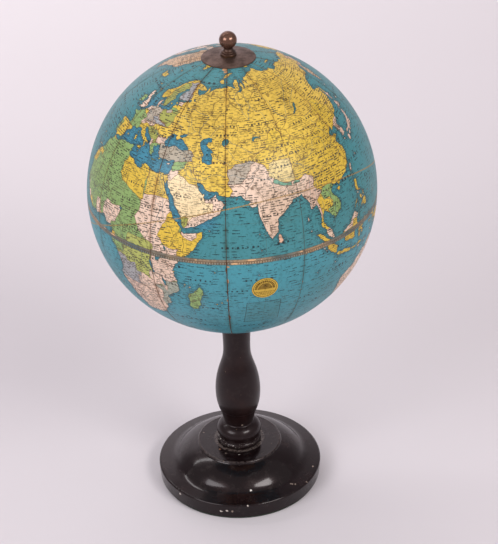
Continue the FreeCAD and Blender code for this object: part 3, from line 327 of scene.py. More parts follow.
"greenland": ("tan", """-73,78.2 -68,76 -60,76 -55,72 -54,69.5 -53,67 -52,64 -48,61 -43.5,60 -42,62.5
-40,65 -33,67.8 -26,68.6 -22,70.3 -22,73 -18.5,75.5 -19,78 -12,81.5 -20,82.5 -32,83.5 -50,82.4 -60,81.8
-66,80.5 -68,79""", []),
"north_america": ("pink", """-168,65.6 -166.5,64.5 -161,64.6 -161,63.6 -165,62.5 -165.5,61 -162,59.9
-157.5,58.7 -162,55.6 -164,54.6 -158,56.2 -154,58.3 -152,60.2 -150,59.4 -147,60.9 -144,60 -139.5,59.6
-136.5,58.1 -133.5,55.6 -130.5,54.6 -128.2,52.2 -127,50.8 -124,49.3 -123,49 -122.5,47.5 -124.7,48.3
-124,46.2 -124.5,42.8 -124.2,40.5 -122.5,37.6 -120.7,34.6 -118.4,33.9 -117.1,32.5 -115.9,30.3 -114.2,28
-112.3,26.3 -110,22.9 -109.5,23.4 -111.3,26 -112.8,28.4 -114.7,31.5 -113,31.2 -110.8,27.8 -109.2,25.8
-106.3,23.2 -105.5,20.8 -104.5,19.2 -101.7,17.8 -98,16.2 -94.7,16.2 -92.3,14.5 -89.5,13.4 -87.5,13
-85.8,11 -84.8,9.7 -83,8.4 -80.5,7.3 -79.5,8.9 -78.2,8 -77.2,7.5 -77.2,8.7 -79.6,9.5 -82,9 -83.6,11
-83.4,14 -83.2,15 -86,15.9 -88.5,15.8 -88.2,17.5 -87.5,19.5 -87,21.5 -90.3,21.1 -90.7,19.5 -92.5,18.5
-95,18.7 -97.2,20.8 -97.8,22.5 -97.2,25.5 -97.2,27.7 -95,29.1 -91.5,29.4 -89.4,29.1 -89,30.3 -85.5,30
-84,30 -82.7,28 -81.8,26 -80.7,25.2 -80.1,26.7 -81.3,29.8 -81,32 -78.5,33.9 -76,35 -76,36.9 -75,38.5
-74,40.6 -72,41.2 -70,41.8 -70.7,43 -67,44.7 -64.5,45.4 -66,43.6 -63.5,44.7 -60.2,46 -64.8,47.5 -64.5,49
-68,48.9 -70,47.2 -66.5,50.2 -60,50.2 -56,51.8 -55.8,53.3 -60,55.5 -61.8,57.5 -64.5,60.3 -69.5,58.9 -70,61
-73.5,62.3 -78,62.4 -77.5,60 -78.5,58.7 -76.6,57 -77,55.5 -79,54 -79,51.7 -80.5,51.3 -82.3,53 -82.2,55.2
-87.5,56 -92.5,57 -94.7,58.8 -94.3,60.5 -93,62 -90,63.6 -87.5,65.3 -86,66.3 -83,66.3 -81.5,68 -85.3,69.5
-88,68 -92,69.5 -94,71.8 -96,71 -95.5,69 -97.5,68.3 -104,68 -108.5,67.9 -115,68 -116,69 -122,69.7
-127,70.2 -131,69.9 -135.5,69 -141,69.6 -149,70.5 -156.5,71.3 -162,70.2 -166,68.6 -163.5,67 -162,66.4
-165,66.4""", [
    ("yellow", """-126,49 -95,49 -92,48.2 -89.5,48 -88.4,48.4 -84.5,46.5 -82.5,45.3 -82.5,42.5 -79,42.8
-79,43.4 -76.5,44.2 -75,45 -71.5,45 -70.5,46 -69,47.4 -67.8,47 -67,44 -66,42 -74,33 -79,24 -84,27 -96,25.8
-99,26.4 -101.5,29.7 -103.2,29 -106.5,31.8 -108.2,31.8 -108.2,31.3 -111,31.3 -114.8,32.5 -119,32.5
-128,40"""),
    ("green", """-119,32.5 -114.8,32.5 -111,31.3 -108.2,31.3 -108.2,31.8 -106.5,31.8 -103.2,29 -101.5,29.7
-99,26.4 -96,25.8 -95,23 -86,23 -86,18.3 -88.3,18.5 -89.1,17.8 -90.5,17.8 -91.5,16 -92.3,14 -100,14
-115,22"""),
    ("yellow", """-141,59.9 -141,71 -158,73 -172,66 -170,52 -150,57 -140,58 -136,57 -130,54.3 -130,56
-135,59.5 -137.5,59"""),
    ("yellow", "-92.3,14 -91.5,16 -89.1,17.8 -88,16 -83,15.5 -83.2,11 -86,11 -88,12.3"),
    ("green", "-86,11 -83.2,11 -82,9.8 -76,9.5 -76,7 -82,6.5"),
]),
"baffin": ("pink", """-61.5,66.5 -64,63.3 -66,62 -71.5,63 -73,65 -73,68 -79,70 -88,70.5 -89.5,73.5
-81,73.7 -77,72.8 -72,71.5 -67.5,69.2 -62,67""", []),
"victoria": ("pink", "-105,69 -113,68.6 -116.5,69.5 -118.5,71.5 -113,73 -107,73 -104.5,71", []),
"banks": ("pink", "-120,71.5 -125.5,72 -124,74.3 -117.5,73.3", []),
"ellesmere": ("pink", "-62,82.4 -75,79.3 -78,76.5 -90,76.5 -88,80 -92,81.5 -80,83 -68,83", []),
"devon": ("pink", "-80,75.6 -92,76.3 -92,74.7 -80,74.6", []),
"melville": ("pink", "-97,76 -105,76.3 -117,76.3 -110,75 -98,75", []),
"southampton": ("pink", "-81,64 -86,63.5 -86,66 -84,65.5", []),
"newfoundland": ("pink", "-59.3,47.7 -56,46.9 -52.8,46.8 -53.5,48.8 -55.5,51.5 -57.5,50.5", []),
"vancouver": ("pink", "-128,50.7 -124,48.4 -123.5,48.6 -125.5,50.3", []),
"cuba": ("yellow", "-84.8,21.9 -82,23.1 -79,22.8 -75.5,20.9 -74.2,20.2 -77.5,19.9 -78,20.7 -81.5,22", []),
"hispaniola": ("green", "-74.4,18.4 -73,19.9 -70,19.7 -68.4,18.6 -71,17.7", []),
"jamaica": ("pink", "-78.3,18.3 -76.3,18.1 -77.3,17.8", []),
"porto_rico": ("yellow", "-67.2,18.4 -65.7,18.3 -66.8,18", []),
"hawaii": ("yellow", "-156,20.2 -155,19.5 -155.8,19", []),
"south_america": ("yellow", """-77.4,8.7 -75.5,10.7 -74,11.2 -71.8,12.4 -71.3,11 -70,12 -68,10.7
-64.5,10.2 -62,10.7 -60.5,8.6 -57.5,6.3 -54,5.8 -51.7,4.2 -50,1.7 -50,0 -48,-0.7 -44.5,-2.7 -41.5,-2.9
-38.5,-3.8 -35.3,-5.3 -34.8,-7.5 -36.8,-10.7 -38.5,-13 -39,-16.5 -39.8,-19.7 -41.5,-22.2 -44.5,-23.2
-47,-24.7 -48.6,-26 -48.7,-28.5 -50.8,-31 -53,-33.7 -55,-34.8 -58,-34.2 -57.2,-36 -57.8,-38 -62,-39
-62.2,-41 -65,-41 -63.8,-42.7 -65.3,-45 -67.5,-46.3 -65.8,-47.5 -69,-50.8 -68.4,-52.4 -71,-53.8 -73.5,-52
-75.3,-48.5 -74.3,-45 -73,-41.5 -73.5,-38 -72.5,-35 -71.5,-31 -71.2,-28 -70.4,-24 -70.3,-18.5 -75,-15.5
-76.3,-13.5 -78,-10 -79.8,-7 -81.2,-5.8 -80.3,-3.5 -80.8,-1 -80,0.5 -78.8,1.5 -77.5,3.8 -77.4,6.5
-77.9,7.3""", [
    ("pink", """-79,9.5 -77,8.6 -72,13 -72.5,9.5 -70,7 -67.5,6.2 -67,1.2 -69.8,1.2 -70,-4.2 -73,-2.3
-75.5,0 -79.3,1.4 -78.5,4"""),
    ("olive", "-72,13 -72.5,9.5 -70,7 -67.5,6.2 -67,1.2 -64,1.5 -63.3,4 -60.7,5 -60,9 -62,12"),
    ("pink", "-60,9 -60.7,5 -59.8,2 -56,2 -54.2,2.4 -51.2,4.3 -52,7 -57,8"),
    ("green", "-81.5,1 -78.8,1.4 -75.5,0 -75.3,-1.5 -78.5,-4.9 -80.4,-4.4 -82,-3"),
    ("gold", """-80.4,-4.4 -78.5,-4.9 -75.3,-1.5 -75.5,0 -73,-2.3 -70,-4.2 -73,-7 -72,-10 -69.5,-11
-68.8,-13 -69.3,-16 -70.6,-18.4 -76,-18 -83,-6"""),
    ("green", """-69.5,-11 -65.3,-9.8 -60.2,-14 -58,-16.5 -58,-20 -62.5,-22 -65.5,-22 -67.5,-22.8 -69,-19
-69.3,-16 -68.8,-13"""),
    ("rose", "-58,-20 -57,-22 -54.5,-24 -55.5,-27.3 -58.6,-27.2 -62.5,-22.2"),
    ("lilac", """-67.5,-22.8 -65.5,-22 -62.5,-22 -58.6,-27.2 -55.5,-27.3 -54,-25.6 -53.8,-27.2 -57.6,-30.2
-58.3,-33 -57.5,-34.5 -54,-37 -60,-48 -66,-53 -68.6,-52.3 -72,-51.5 -72,-46 -71,-40 -70,-33 -69,-27"""),
    ("green", "-57.6,-30.2 -53,-33.6 -54,-36 -58.4,-34"),
    ("olive", """-70.6,-18.4 -69,-19 -67.5,-22.8 -69,-27 -70,-33 -71,-40 -72,-46 -72,-51.5 -68.6,-52.3
-69,-54 -76,-57 -78,-45 -74,-25"""),
]),
"fuego": ("lilac", "-69.8,-52.8 -68.2,-53.3 -65.2,-54.7 -69,-55.5 -72,-54.3", []),
"falklands": ("pink", "-61,-51.6 -58,-51.6 -60,-52.2", []),
"antarctica": ("tan", """-190,-77.5 -180,-78 -165,-78 -150,-77 -135,-74.5 -115,-74 -100,-73 -90,-73
-75,-73 -68,-69 -61,-64.5 -57,-63.3 -60,-66 -63,-71 -61,-75 -45,-78 -35,-78.5 -27,-76 -15,-72.5 0,-70
15,-69.5 30,-69.5 40,-69 50,-67 57,-67 68,-68.5 71,-71 75,-69.5 85,-66.7 100,-66 115,-66.5 130,-66.2
145,-67 155,-69 165,-71 170,-72 165,-75 166,-78 180,-78 190,-77.5 190,-88 -190,-88""", []),
}

# Seas and lakes that lie inside a land's outline.
LAKES = {
"black_sea": """28,42 27.8,43.3 28.8,44.8 30.2,46 31,46.6 33.3,46.1 33,45.3 33.7,44.4 35.3,45 36.5,45.3
38,44.4 39.6,43.4 41.3,42.3 41.4,41.5 39,41 36.3,41.3 35,42 33.2,42 31.2,41.2 29,41.2""",
"azov": "35,45.9 35.3,46.5 37,47 39.2,47.2 38.2,46.2 36.9,45.5",
"marmara": "27.2,40.5 28.5,41 29.3,40.8 28,40.4",
"caspian": """47.5,45.6 49,46.4 51.2,47 53,46.8 53.2,45.4 51.2,45.2 50.9,44.4 50.3,44.3 51.3,43.2
52.6,42.6 53.6,42 53.9,41.2 52.9,41 53.5,40 53.9,39.3 53.9,37.3 52,36.7 50.2,37.4 49,38 48.9,39 49.6,40.2
48.6,41.8 47.6,43 47,44.5""",
"aral": "58.3,45.5 59.5,46.6 61.3,46.6 61.8,45.5 60.8,44.2 59.4,43.6 58.2,44.5",
"balkhash": "73.8,45.4 74.5,46.8 77,46.7 79,46.7 78.5,46.2 75.5,46 74.5,44.9",
"baikal": "103.8,51.5 105.5,51.8 108.2,53 110.2,55.5 109.3,55.8 107.2,53.7 104.6,52",
"ladoga": "30.5,61 32,61.4 32.8,60.6 31.2,60",
"onega": "34.5,62.2 35.9,61.2 35.2,60.9 34.2,61.4",
"victoria_lake": "31.8,-0.8 32.8,0.2 34,0 34.1,-1.2 33,-2.5 31.9,-2.4",
"tanganyika": "29.1,-3.4 29.6,-3.5 30.4,-6 31.1,-8.5 30.5,-8.7 29.5,-6.5 29,-4.5",
"nyasa": "33.9,-9.6 34.8,-11 35.3,-14 34.7,-14.2 34.1,-12",
"rudolf": "35.9,4.6 36.7,3 36.3,2.4 35.7,3.8",
"chad": "13.5,13.3 14.8,13.6 15,12.8 14,12.6",
"superior": "-92,46.8 -88.5,48.8 -84.8,47.5 -84.6,46.5 -87.5,46.5",
"michigan": "-87.8,42 -86.3,42 -86.3,44.5 -85,46 -87.7,44.8",
"huron": "-84.3,46 -80.5,45.8 -80.5,44.5 -81.7,43.2 -82.5,43 -83.5,44.8",
"erie": "-83.3,41.7 -81.2,42.6 -79,42.8 -81.5,41.5",
"ontario": "-79.7,43.3 -76.5,44.1 -76.4,43.5 -79,43.3",
"winnipeg": "-98.8,53.5 -97,51.5 -96.5,50.5 -98,51.7",
"great_slave": "-117,61 -112,62.5 -109,62.8 -113,61.2",
"great_bear": "-125,66 -120,67 -118,65.8 -121,65",
"titicaca": "-70,-15.4 -69,-16 -69,-16.6 -70,-15.9",
}

# Rivers, each one open line from source to mouth.
RIVERS = [
    """32.6,0.5 31.5,3.5 31,6.5 30.5,9.5 32.6,13 32.6,15.7 34,18 31,20 31.2,22 32.8,25 31.2,29 31,31.4
37.3,12 35,11.2 34.2,12.5 32.6,15.7""",
    "29.3,-10.8 25.5,-5 25.5,0.5 21,2 18,0 16.3,-3.5 12.5,-6 -9.8,9.4 -6,13.5 -1,16.8 3.5,13 6,8 6.4,4.5",
    "23,-11.5 23.3,-17.5 28.8,-16 31,-15.6 34.5,-17.6 36,-18.8 17.5,-28.8 22,-28.8 27,-27",
    "38.5,39 38.2,36.5 41,34.5 44.5,31.5 47.5,31",
    "40,38.5 43,36.3 45,33 47.5,31 81,31.2 78,34.5 75,35.8 72,33.5 70.5,29 68.3,26 67.7,24.2",
    "78.5,30.5 80.3,26.5 84,25.6 88,24.5 90,22.6 82,30.2 88,29.4 94,29.5 95.5,28 91,26.2 89.8,24.5",
    """94,30 98.5,26 100.4,21 103,17.5 105.8,14.5 106.3,10.3 92,34 99,31 100.5,26.5 104,28.7 110,30.5
114,30 118,31.5 121.5,31.6""",
    """97,34.7 103,36.3 107,40.2 111,40 110.3,35 115,35 118.5,37.4 110,49 117,49.8 121.5,53.3 127.7,49.7
131,47.8 135,48.5 137.5,51 141,53""",
    "105.5,54 112,58.5 118.5,60.4 126,62 129.5,66 127,71 98.5,51 93,55 91.5,60 88,66 84,70 81,72",
    "85,52 83.5,56 77,59.5 69,61 67,64.5 72.5,67 74,53.5 71,57.5 69,61",
    "32.8,57 38,57.8 44,56.3 49,55.5 46,50.8 45,48.5 47.7,46.1",
    "38.3,54 39.5,51 43.5,48.8 39.4,47.3 33,55 30.5,51 34.8,48.5 32.5,46.7",
    "8.5,48 13,48.6 16.5,48 19,47.5 19.2,45.3 22.5,44.3 27,44 28.8,45.2",
    "8.5,46.8 7.6,48 8.2,50 6.5,51.8 4.2,51.9 73.5,37.5 67.5,37.3 62,41.5 59.5,43.6",
    "73,41 67,43.8 62,46",
    "59,52 56,51.3 51.8,47.2",
    """148.2,-36.3 144,-35.8 141.5,-34 139.3,-35.3 -112,45.5 -104,48 -100.5,44.5 -96,41.5 -91,38.8 -90,35
-91,31 -89.3,29.2""",
    "-95,47.4 -91.3,43 -90.2,38.8",
    "-80,40.4 -84.5,39 -89,37.2 -76,-9 -73.3,-4 -66,-3 -58,-3 -52,-1.3 -50,0",
    "-65,2.5 -67.5,6 -63,8 -60.6,8.7",
    "-49,-18 -53,-23 -56,-27.3 -58.7,-30 -58.4,-34 -117,51 -115,57 -117.5,61 -124,63 -128.5,66 -134,69",
    "-134,60.5 -140,64.3 -145,66.5 -154,65 -161,62.6",
    "-76.5,44.2 -73.5,45.5 -70,47.3 -106.5,37.5 -106.5,32 -101.5,29.7 -97.3,26",
    "96.5,27 95.5,22 95,17 95.3,15.9",
    "99.5,26.5 98,22 97.6,17",
    "100.2,17.5 100.5,13.5",
]

# Small islands: longitude, latitude and radius in degrees.
ISLETS = [(55.5, -21.1, 0.35), (57.5, -20.2, 0.3), (73.2, 4, 0.2), (73, 0.5, 0.2), (72.7, 10.6, 0.2),
          (72, -6.5, 0.2), (39.4, -6.1, 0.3), (43.4, -11.7, 0.3), (45.1, -12.8, 0.25),
          (55.5, -4.6, 0.25), (57.7, 19, 0.12), (96.8, -12.1, 0.2), (105.6, -10.5, 0.25),
          (93.5, 7.5, 0.25), (98, 1, 0.35), (99.2, -1.8, 0.4), (100.2, -3, 0.3), (28, 36.2, 0.3),
          (14.4, 35.9, 0.2), (3, 39.6, 0.4), (18.6, 57.5, 0.4), (22.5, 58.4, 0.4), (-15.5, 28.2, 0.35),
          (-17.9, 28.7, 0.25), (-14, 28.5, 0.3), (-17, 32.7, 0.3), (-25.5, 37.7, 0.3), (-28, 38.6, 0.25),
          (-24, 15, 0.35), (-25, 16.9, 0.25), (6.7, 0.3, 0.2), (8.7, 3.5, 0.3), (-5.7, -15.9, 0.2),
          (-14.4, -8, 0.2), (-157.9, 21.4, 0.3), (-159.5, 22, 0.3), (178, -17.8, 0.7),
          (179.5, -16.6, 0.5), (166.5, -21.8, 0.7), (167.2, -15.5, 0.4), (-172, -13.8, 0.4),
          (-149.5, -17.6, 0.3), (144.8, 13.4, 0.25), (134.5, 7.5, 0.25), (151.8, 7.4, 0.2),
          (158.2, 6.9, 0.25), (153, 50.5, 0.4), (148, 44.8, 0.4), (127.8, 26.4, 0.3), (126.5, 33.4, 0.4),
          (-90.5, -0.5, 0.5), (-74, 25, 0.4), (-77.5, 25, 0.4), (-61, 15, 0.3), (-61.3, 10.5, 0.35),
          (-69, 12.2, 0.25), (-64.8, 32.3, 0.2), (-7, 62, 0.35), (-1.3, 60.3, 0.3), (-8.3, 71, 0.35),
          (-36.8, -54.3, 0.5), (-12.3, -37.1, 0.2), (37.9, -46.8, 0.25), (51.8, -46.4, 0.25),
          (77.5, -38, 0.2), (169, -52, 0.2), (-176.5, -44, 0.3), (-80, 26.5, 0.1), (121, 13, 0.4),
          (123.9, 10.3, 0.35), (120.5, -10, 0.6), (134.4, -6, 0.5), (131.3, -7.7, 0.4), (138.5, -8, 0.3),
          (137, -35.8, 0.35), (-170, 53.5, 0.5), (-167.5, 53.8, 0.4), (-174, 52, 0.4),
          (-153.5, 57.5, 0.6), (-132.3, 53.2, 0.6), (90.6, 22.6, 0.2), (50.6, 26, 0.15)]

# Chips through the paper to the board, and places where only the ink is gone:
# longitude, latitude, radius in mm and width over height.
CHIPS = [(60.2, -8.5, 1.9, 0.55), (59.8, -18.6, 1.7, 0.55), (60.3, -31, 1.2, 0.5), (60.1, -25, 1.3, 0.35),
         (59.9, -37, 1.4, 0.4), (60.1, -13.2, 1.2, 0.35), (60.4, -1.9, 0.9, 1.6), (30.3, -20, 0.8, 0.5),
         (29.8, -29.5, 1.0, 0.6), (0.4, 6, 1.0, 3.0), (0.1, 9.5, 0.9, 0.5), (57, 77.6, 1.8, 1.0),
         (54.5, 79, 1.6, 1.5), (60.2, 75, 1.3, 0.6), (59.8, 44, 0.7, 0.6), (90.2, -14, 0.8, 0.5),
         (120.2, -22, 0.9, 0.6), (151, -6, 1.1, 0.6), (180.2, 8, 1.3, 0.6), (210.3, -17, 1.5, 0.7),
         (240, 22, 1.2, 0.6), (269.8, -33, 1.3, 0.6), (300.2, 9, 1.0, 0.5), (330, -12, 1.3, 0.7),
         (330.3, 51, 1.1, 0.6), (45.3, -12.7, 0.8, 0.8)]
INK_LOST = [(62.8, -0.62, 0.75, 4.6), (69.2, 0.6, 0.8, 4.6), (88.6, 0.5, 0.7, 2.4), (10, 0.5, 0.8, 4.5),
            (4.5, 0.9, 0.7, 3.0), (134, -0.5, 0.7, 3.0), (196, 0.5, 0.7, 4.0), (251, -0.6, 0.7, 3.0),
            (322, 0.5, 0.7, 4.0), (48.5, 0.55, 0.5, 2.0)]

# Seams that have opened: longitude and half of the globe (1 is north), and how many times wider.
WIDE_SEAMS = {(120, 1): 1.5, (60, -1): 3.0, (60, 1): 1.4, (30, -1): 2.0, (30, 1): 1.6, (0, 1): 1.3,
              (90, 1): 0.7, (210, -1): 2.0, (240, 1): 1.5}

# ---- colours of the printed map, as sRGB -------------------------------------------------
INKS = {
    "sea": (70, 148, 162), "gold": (226, 190, 80), "yellow": (226, 191, 68), "lemon": (232, 196, 78),
    "butter": (231, 206, 135), "pink": (238, 208, 186), "rose": (226, 194, 174), "cream": (246, 220, 172),
    "green": (143, 174, 106), "sage": (170, 174, 157), "olive": (166, 168, 84), "grey": (186, 172, 154),
    "lilac": (168, 168, 170), "mauve": (178, 166, 146), "mint": (118, 176, 150), "coral": (232, 186, 158),
    "tan": (208, 172, 136), "moss": (184, 190, 102), "coast": (58, 62, 60), "border": (112, 74, 52),
    "river": (62, 98, 110), "board": (206, 160, 118), "bare": (226, 180, 132),
}


def linear(srgb):
    """An sRGB colour, 0 to 255, as the renderer's linear red, green and blue."""
    return [v / 255 / 12.92 if v <= 10 else ((v / 255 + 0.055) / 1.055) ** 2.4 for v in srgb]


def rgba(srgb):
    return (*linear(srgb), 1.0)


def darker(srgb, share):
    return [v * share for v in srgb]


# ---- outlines ----------------------------------------------------------------------------
def outline(text):
    return [tuple(float(v) for v in pair.split(",")) for pair in text.split()]


def shrink(lat):
    """How much shorter a degree of longitude is than one of latitude."""
    return max(math.cos(math.radians(lat)), 0.08)


def surveyed(a, b, rough, step):
    """The line from a to b, broken up like a surveyed one. A shared border comes out the same both ways."""
    ends = sorted((a, b))
    line = list(ends)
    draw = random.Random(hash((*ends[0], *ends[1])))
    size = math.hypot((ends[1][0] - ends[0][0]) * shrink(ends[0][1]), ends[1][1] - ends[0][1])
    while size > step:
        longer = [line[0]]
        for p, q in zip(line, line[1:]):
            lon, lat = (p[0] + q[0]) / 2, (p[1] + q[1]) / 2
            k = shrink(lat)
            push = draw.uniform(-rough, rough)
            longer.append((lon - push * (q[1] - p[1]) / k, lat + push * (q[0] - p[0]) * k))
            longer.append(q)
        line = longer
        size /= 2
    return line if ends[0] == a else line[::-1]


def ring(text, rough, step):
    corners = outline(text)
    line = []
    for a, b in zip(corners, corners[1:] + corners[:1]):
        line += surveyed(a, b, rough, step)[:-1]
    return line


def open_line(text, rough, step):
    corners = outline(text)
    line = [corners[0]]
    for a, b in zip(corners, corners[1:]):
        line += surveyed(a, b, rough, step)[1:]
    return line


def strip(line, width, closed):
    """The triangles of a printed line of that width in mm."""
    half = width / 2 / MM_PER_DEG
    pts = np.array(line)
    k = np.maximum(np.cos(np.radians(pts[:, 1])), 0.08)
    if closed:
        before, after = np.roll(pts, 1, 0), np.roll(pts, -1, 0)
    else:
        before, after = np.vstack([pts[:1], pts[:-1]]), np.vstack([pts[1:], pts[-1:]])
    run = (after - before) * np.stack([k, np.ones(len(k))], 1)
    run /= np.maximum(np.linalg.norm(run, axis=1, keepdims=True), 1e-9)
    side = np.stack([-run[:, 1] / k, run[:, 0]], 1) * half
    left, right = pts + side, pts - side
    count = len(pts) if closed else len(pts) - 1
    pieces = []
    for i in range(count):
        j = (i + 1) % len(pts)
        pieces += [[left[i], right[i], right[j]], [left[i], right[j], left[j]]]
    return pieces


def blob(lon, lat, radius, seed, squeeze=1.0, points=14):
    """An uneven patch: radius in mm, squeeze its width over its height."""
    draw = random.Random(seed)
    shape = []
    for i in range(points):
        turn = 2 * math.pi * i / points
        reach = radius / MM_PER_DEG * draw.uniform(0.7, 1.2)
        shape.append((lon + reach * squeeze * math.cos(turn) / shrink(lat), lat + reach * math.sin(turn)))
    return shape


# ---- every shape on the map --------------------------------------------------------------
shapes = []          # (ring, kind, land or gore, order, colour)
shore_points = []


def turning(shape):
    """Twice the area of a ring in longitude and latitude, which is above 0 if it runs anticlockwise."""
    pts = np.array(shape)
    after = np.roll(pts, -1, 0)
    return float(np.sum(pts[:, 0] * after[:, 1] - after[:, 0] * pts[:, 1]))


def add(shape, kind, land=-1, order=-1, colour="sea"):
    """Adds a ring to the map wherever it shows between 0 and 360 degrees, started at its west end."""
    area = turning(shape)
    if abs(area) < 1e-6:
        return
    if area < 0:
        shape = shape[::-1]
    lons = [p[0] for p in shape]
    west = lons.index(min(lons))
    shape = shape[west:] + shape[:west]
    for turn in (-360, 0, 360):
        if max(lons) + turn > -1 and min(lons) + turn < 361:
            shapes.append(([(p[0] + turn, p[1]) for p in shape], kind, land, order, colour))


def add_shore(shore, kind, edge_kind, edge_mm, **known):
    """Adds a ring of shore with the line printed along it."""
    shore_points.extend(shore)
    add(shore, kind, **known)
    for piece in strip(shore, edge_mm, True):
        add(piece, edge_kind, known.get("land", -1))


def add_lands():
    for number, (colour, coast, regions) in enumerate(LANDS.values()):
        shore = ring(coast, 0.13, 0.5)
        add_shore(shore, "land", "coast", COAST_MM, land=number, order=0, colour=colour)
        for order, (tint, border) in enumerate(regions, 1):
            edge = ring(border, 0.07, 0.8)
            add(edge, "region", number, order, tint)
            for piece in strip(edge, BORDER_MM, True):
                add(piece, "border", number, order)


def add_water_and_islets():
    for lake in LAKES.values():
        add_shore(ring(lake, 0.12, 0.5), "lake", "lake_edge", COAST_MM * 0.8)
    for course in RIVERS:
        for piece in strip(open_line(course, 0.14, 0.7), RIVER_MM, False):
            add(piece, "river")
    for lon, lat, radius in ISLETS:
        spot = blob(lon, lat, radius * MM_PER_DEG, int(lon * 10))
        add_shore(spot, "islet", "islet_edge", COAST_MM * 0.8, colour="pink" if lon > 60 else "yellow")


def add_wear():
    for number, (lon, lat, radius, squeeze) in enumerate(CHIPS):
        add(blob(lon, lat, radius, 100 + number, squeeze), "chip", colour="board")
    for number, (lon, lat, radius, squeeze) in enumerate(INK_LOST):
        add(blob(lon, lat, radius, 300 + number, squeeze, 20), "bare", colour="bare")


# ---- the gores' own outlines: slightly ragged edges along the seams ----------------------
EQUATOR_GAP = SEAM_MM / 2 / MM_PER_DEG
GORE_TOP = POLE_LAT - 0.15
gores = [(half, west) for half in (1, -1) for west in range(0, 360, GORE_SPAN)]


def seam_line(lon, half, toward):
    """One cut edge of a gore, from the equator to the polar paper. toward is 1 for the gore's west edge."""
    draw = random.Random(int(lon) % 360 * 7 + half * 3 + toward)
    width = SEAM_MM / 2 * WIDE_SEAMS.get((int(lon) % 360, half), 1.0)
    line = []
    lat = EQUATOR_GAP
    while lat < GORE_TOP:
        nick = draw.uniform(0.75, 1.35) + (draw.uniform(0.4, 2.0) if draw.random() < 0.06 else 0)
        line.append((lon + toward * width * nick / MM_PER_DEG / shrink(lat), half * lat))
        lat += draw.uniform(0.5, 1.0) * ROW
    line.append((lon + toward * width / MM_PER_DEG / shrink(GORE_TOP), half * GORE_TOP))
    return line


def add_gores():
    for number, (half, west) in enumerate(gores):
        lower = [(west + x, half * EQUATOR_GAP) for x in np.arange(ROW, GORE_SPAN - ROW / 2, ROW)]
        upper = [(west + x, half * GORE_TOP) for x in np.arange(3, GORE_SPAN - 1, 3)]
        edge = seam_line(west, half, 1) + upper + seam_line(west + GORE_SPAN, half, -1)[::-1] + lower[::-1]
        shapes.append((edge if turning(edge) > 0 else edge[::-1], "gore", number, -1, ""))


def mesh_grid():
    """Points in staggered rows, so that no triangle of the globe is much larger than a row."""
    grid = []
    for half in (1, -1):
        for lat in np.arange(ROW * 0.6, POLE_LAT, ROW):
            count = max(4, round(360 * shrink(lat) / ROW))
            stagger = 0.5 * (int(lat / ROW) % 2)
            grid += [(360 * (i + stagger) / count + 0.13, half * lat) for i in range(count)]
    return grid


def cut_up():
    """The map cut into triangles: its points, the triangles, and the shapes that each one lies in."""
    points, faces = mesh_grid(), []
    for shape, *_ in shapes:
        faces.append(list(range(len(points), len(points) + len(shape))))
        points += shape
    places = [Vector(p) for p in points]
    points, _, triangles, _, _, owners = delaunay_2d_cdt(places, [], faces, 0, 1e-5, True)
    # A shape that crosses itself can come out as everything but itself, and is then left out.
    held = np.bincount([n for owner in owners for n in owner], minlength=len(shapes))
    owners = [[n for n in owner if held[n] < 0.8 * len(triangles)] for owner in owners]
    return np.array([tuple(p) for p in points]), triangles, owners


# ---- what each triangle shows ------------------------------------------------------------
LAND, SEA, PLAIN = 1.0, 0.0, 0.5
ink = {name: linear(colour) for name, colour in INKS.items()}


def last(values, default):
    return values[-1] if values else default


def look(owner):
    """(gore, colour, printed, chipped) of a triangle that lies in these shapes."""
    inside = [shapes[number][1:] for number in owner]
    kinds = {kind for kind, *_ in inside}
    gore = last([which for kind, which, _, _ in inside if kind == "gore"], -1)
    if gore < 0:
        return -1, None, None, False
    if "chip" in kinds:
        return gore, "board", PLAIN, True
    if "bare" in kinds:
        return gore, "bare", PLAIN, False
    land, colour = last([(which, tint) for kind, which, _, tint in inside if kind == "land"], (-1, "sea"))
    printed = SEA
    if land >= 0:
        colour, printed = look_inland(inside, kinds, land, colour)
    coasts = [which for kind, which, _, _ in inside if kind == "coast"]
    if coasts and (land < 0 or land in coasts):
        colour, printed = "coast", PLAIN
    if land < 0 and "islet_edge" in kinds:
        colour, printed = "coast", PLAIN
    elif land < 0 and "islet" in kinds:
        colour, printed = last([tint for kind, _, _, tint in inside if kind == "islet"], None), PLAIN
    return gore, colour, printed, False


def look_inland(inside, kinds, land, colour):
    """(colour, printed) of a triangle on a land: its top region, or what is printed over it."""
    top, printed = -1, LAND
    for kind, which, order, tint in inside:
        if kind == "region" and which == land and order > top:
            top, colour = order, tint
    if any(kind == "border" and which == land and order >= top for kind, which, order, _ in inside):
        colour, printed = "border", PLAIN
    if "river" in kinds and printed == LAND:
        colour, printed = "river", PLAIN
    if "lake" in kinds:
        colour, printed = "sea", SEA
    if "lake_edge" in kinds:
        colour, printed = "coast", PLAIN
    return colour, printed


# ---- the gores' meshes -------------------------------------------------------------------
def on_globe(lonlat, radius):
    """Points of the sphere, as an array of x, y and z."""
    lon, lat = np.radians(lonlat[:, 0] - FRONT_LON), np.radians(lonlat[:, 1])
    out = np.stack([np.sin(lon) * np.cos(lat), -np.cos(lon) * np.cos(lat), np.sin(lat)], 1)
    return out * np.reshape(radius, (-1, 1)) + np.array(GLOBE_CENTRE)


def shore_distances():
    """A search tree of every shore on the globe."""
    tree = KDTree(len(shore_points))
    for number, place in enumerate(on_globe(np.array(shore_points), GLOBE_R)):
        tree.insert(place, number)
    tree.balance()
    return tree


def mesh_object(name, verts, polygons, material):
    mesh = bpy.data.meshes.new(name)
    mesh.from_pydata([tuple(v) for v in verts], [], polygons)
    mesh.materials.append(material)
    mesh.polygons.foreach_set("use_smooth", [True] * len(polygons))
    obj = bpy.data.objects.new(name, mesh)
    bpy.context.collection.objects.link(obj)
    return obj


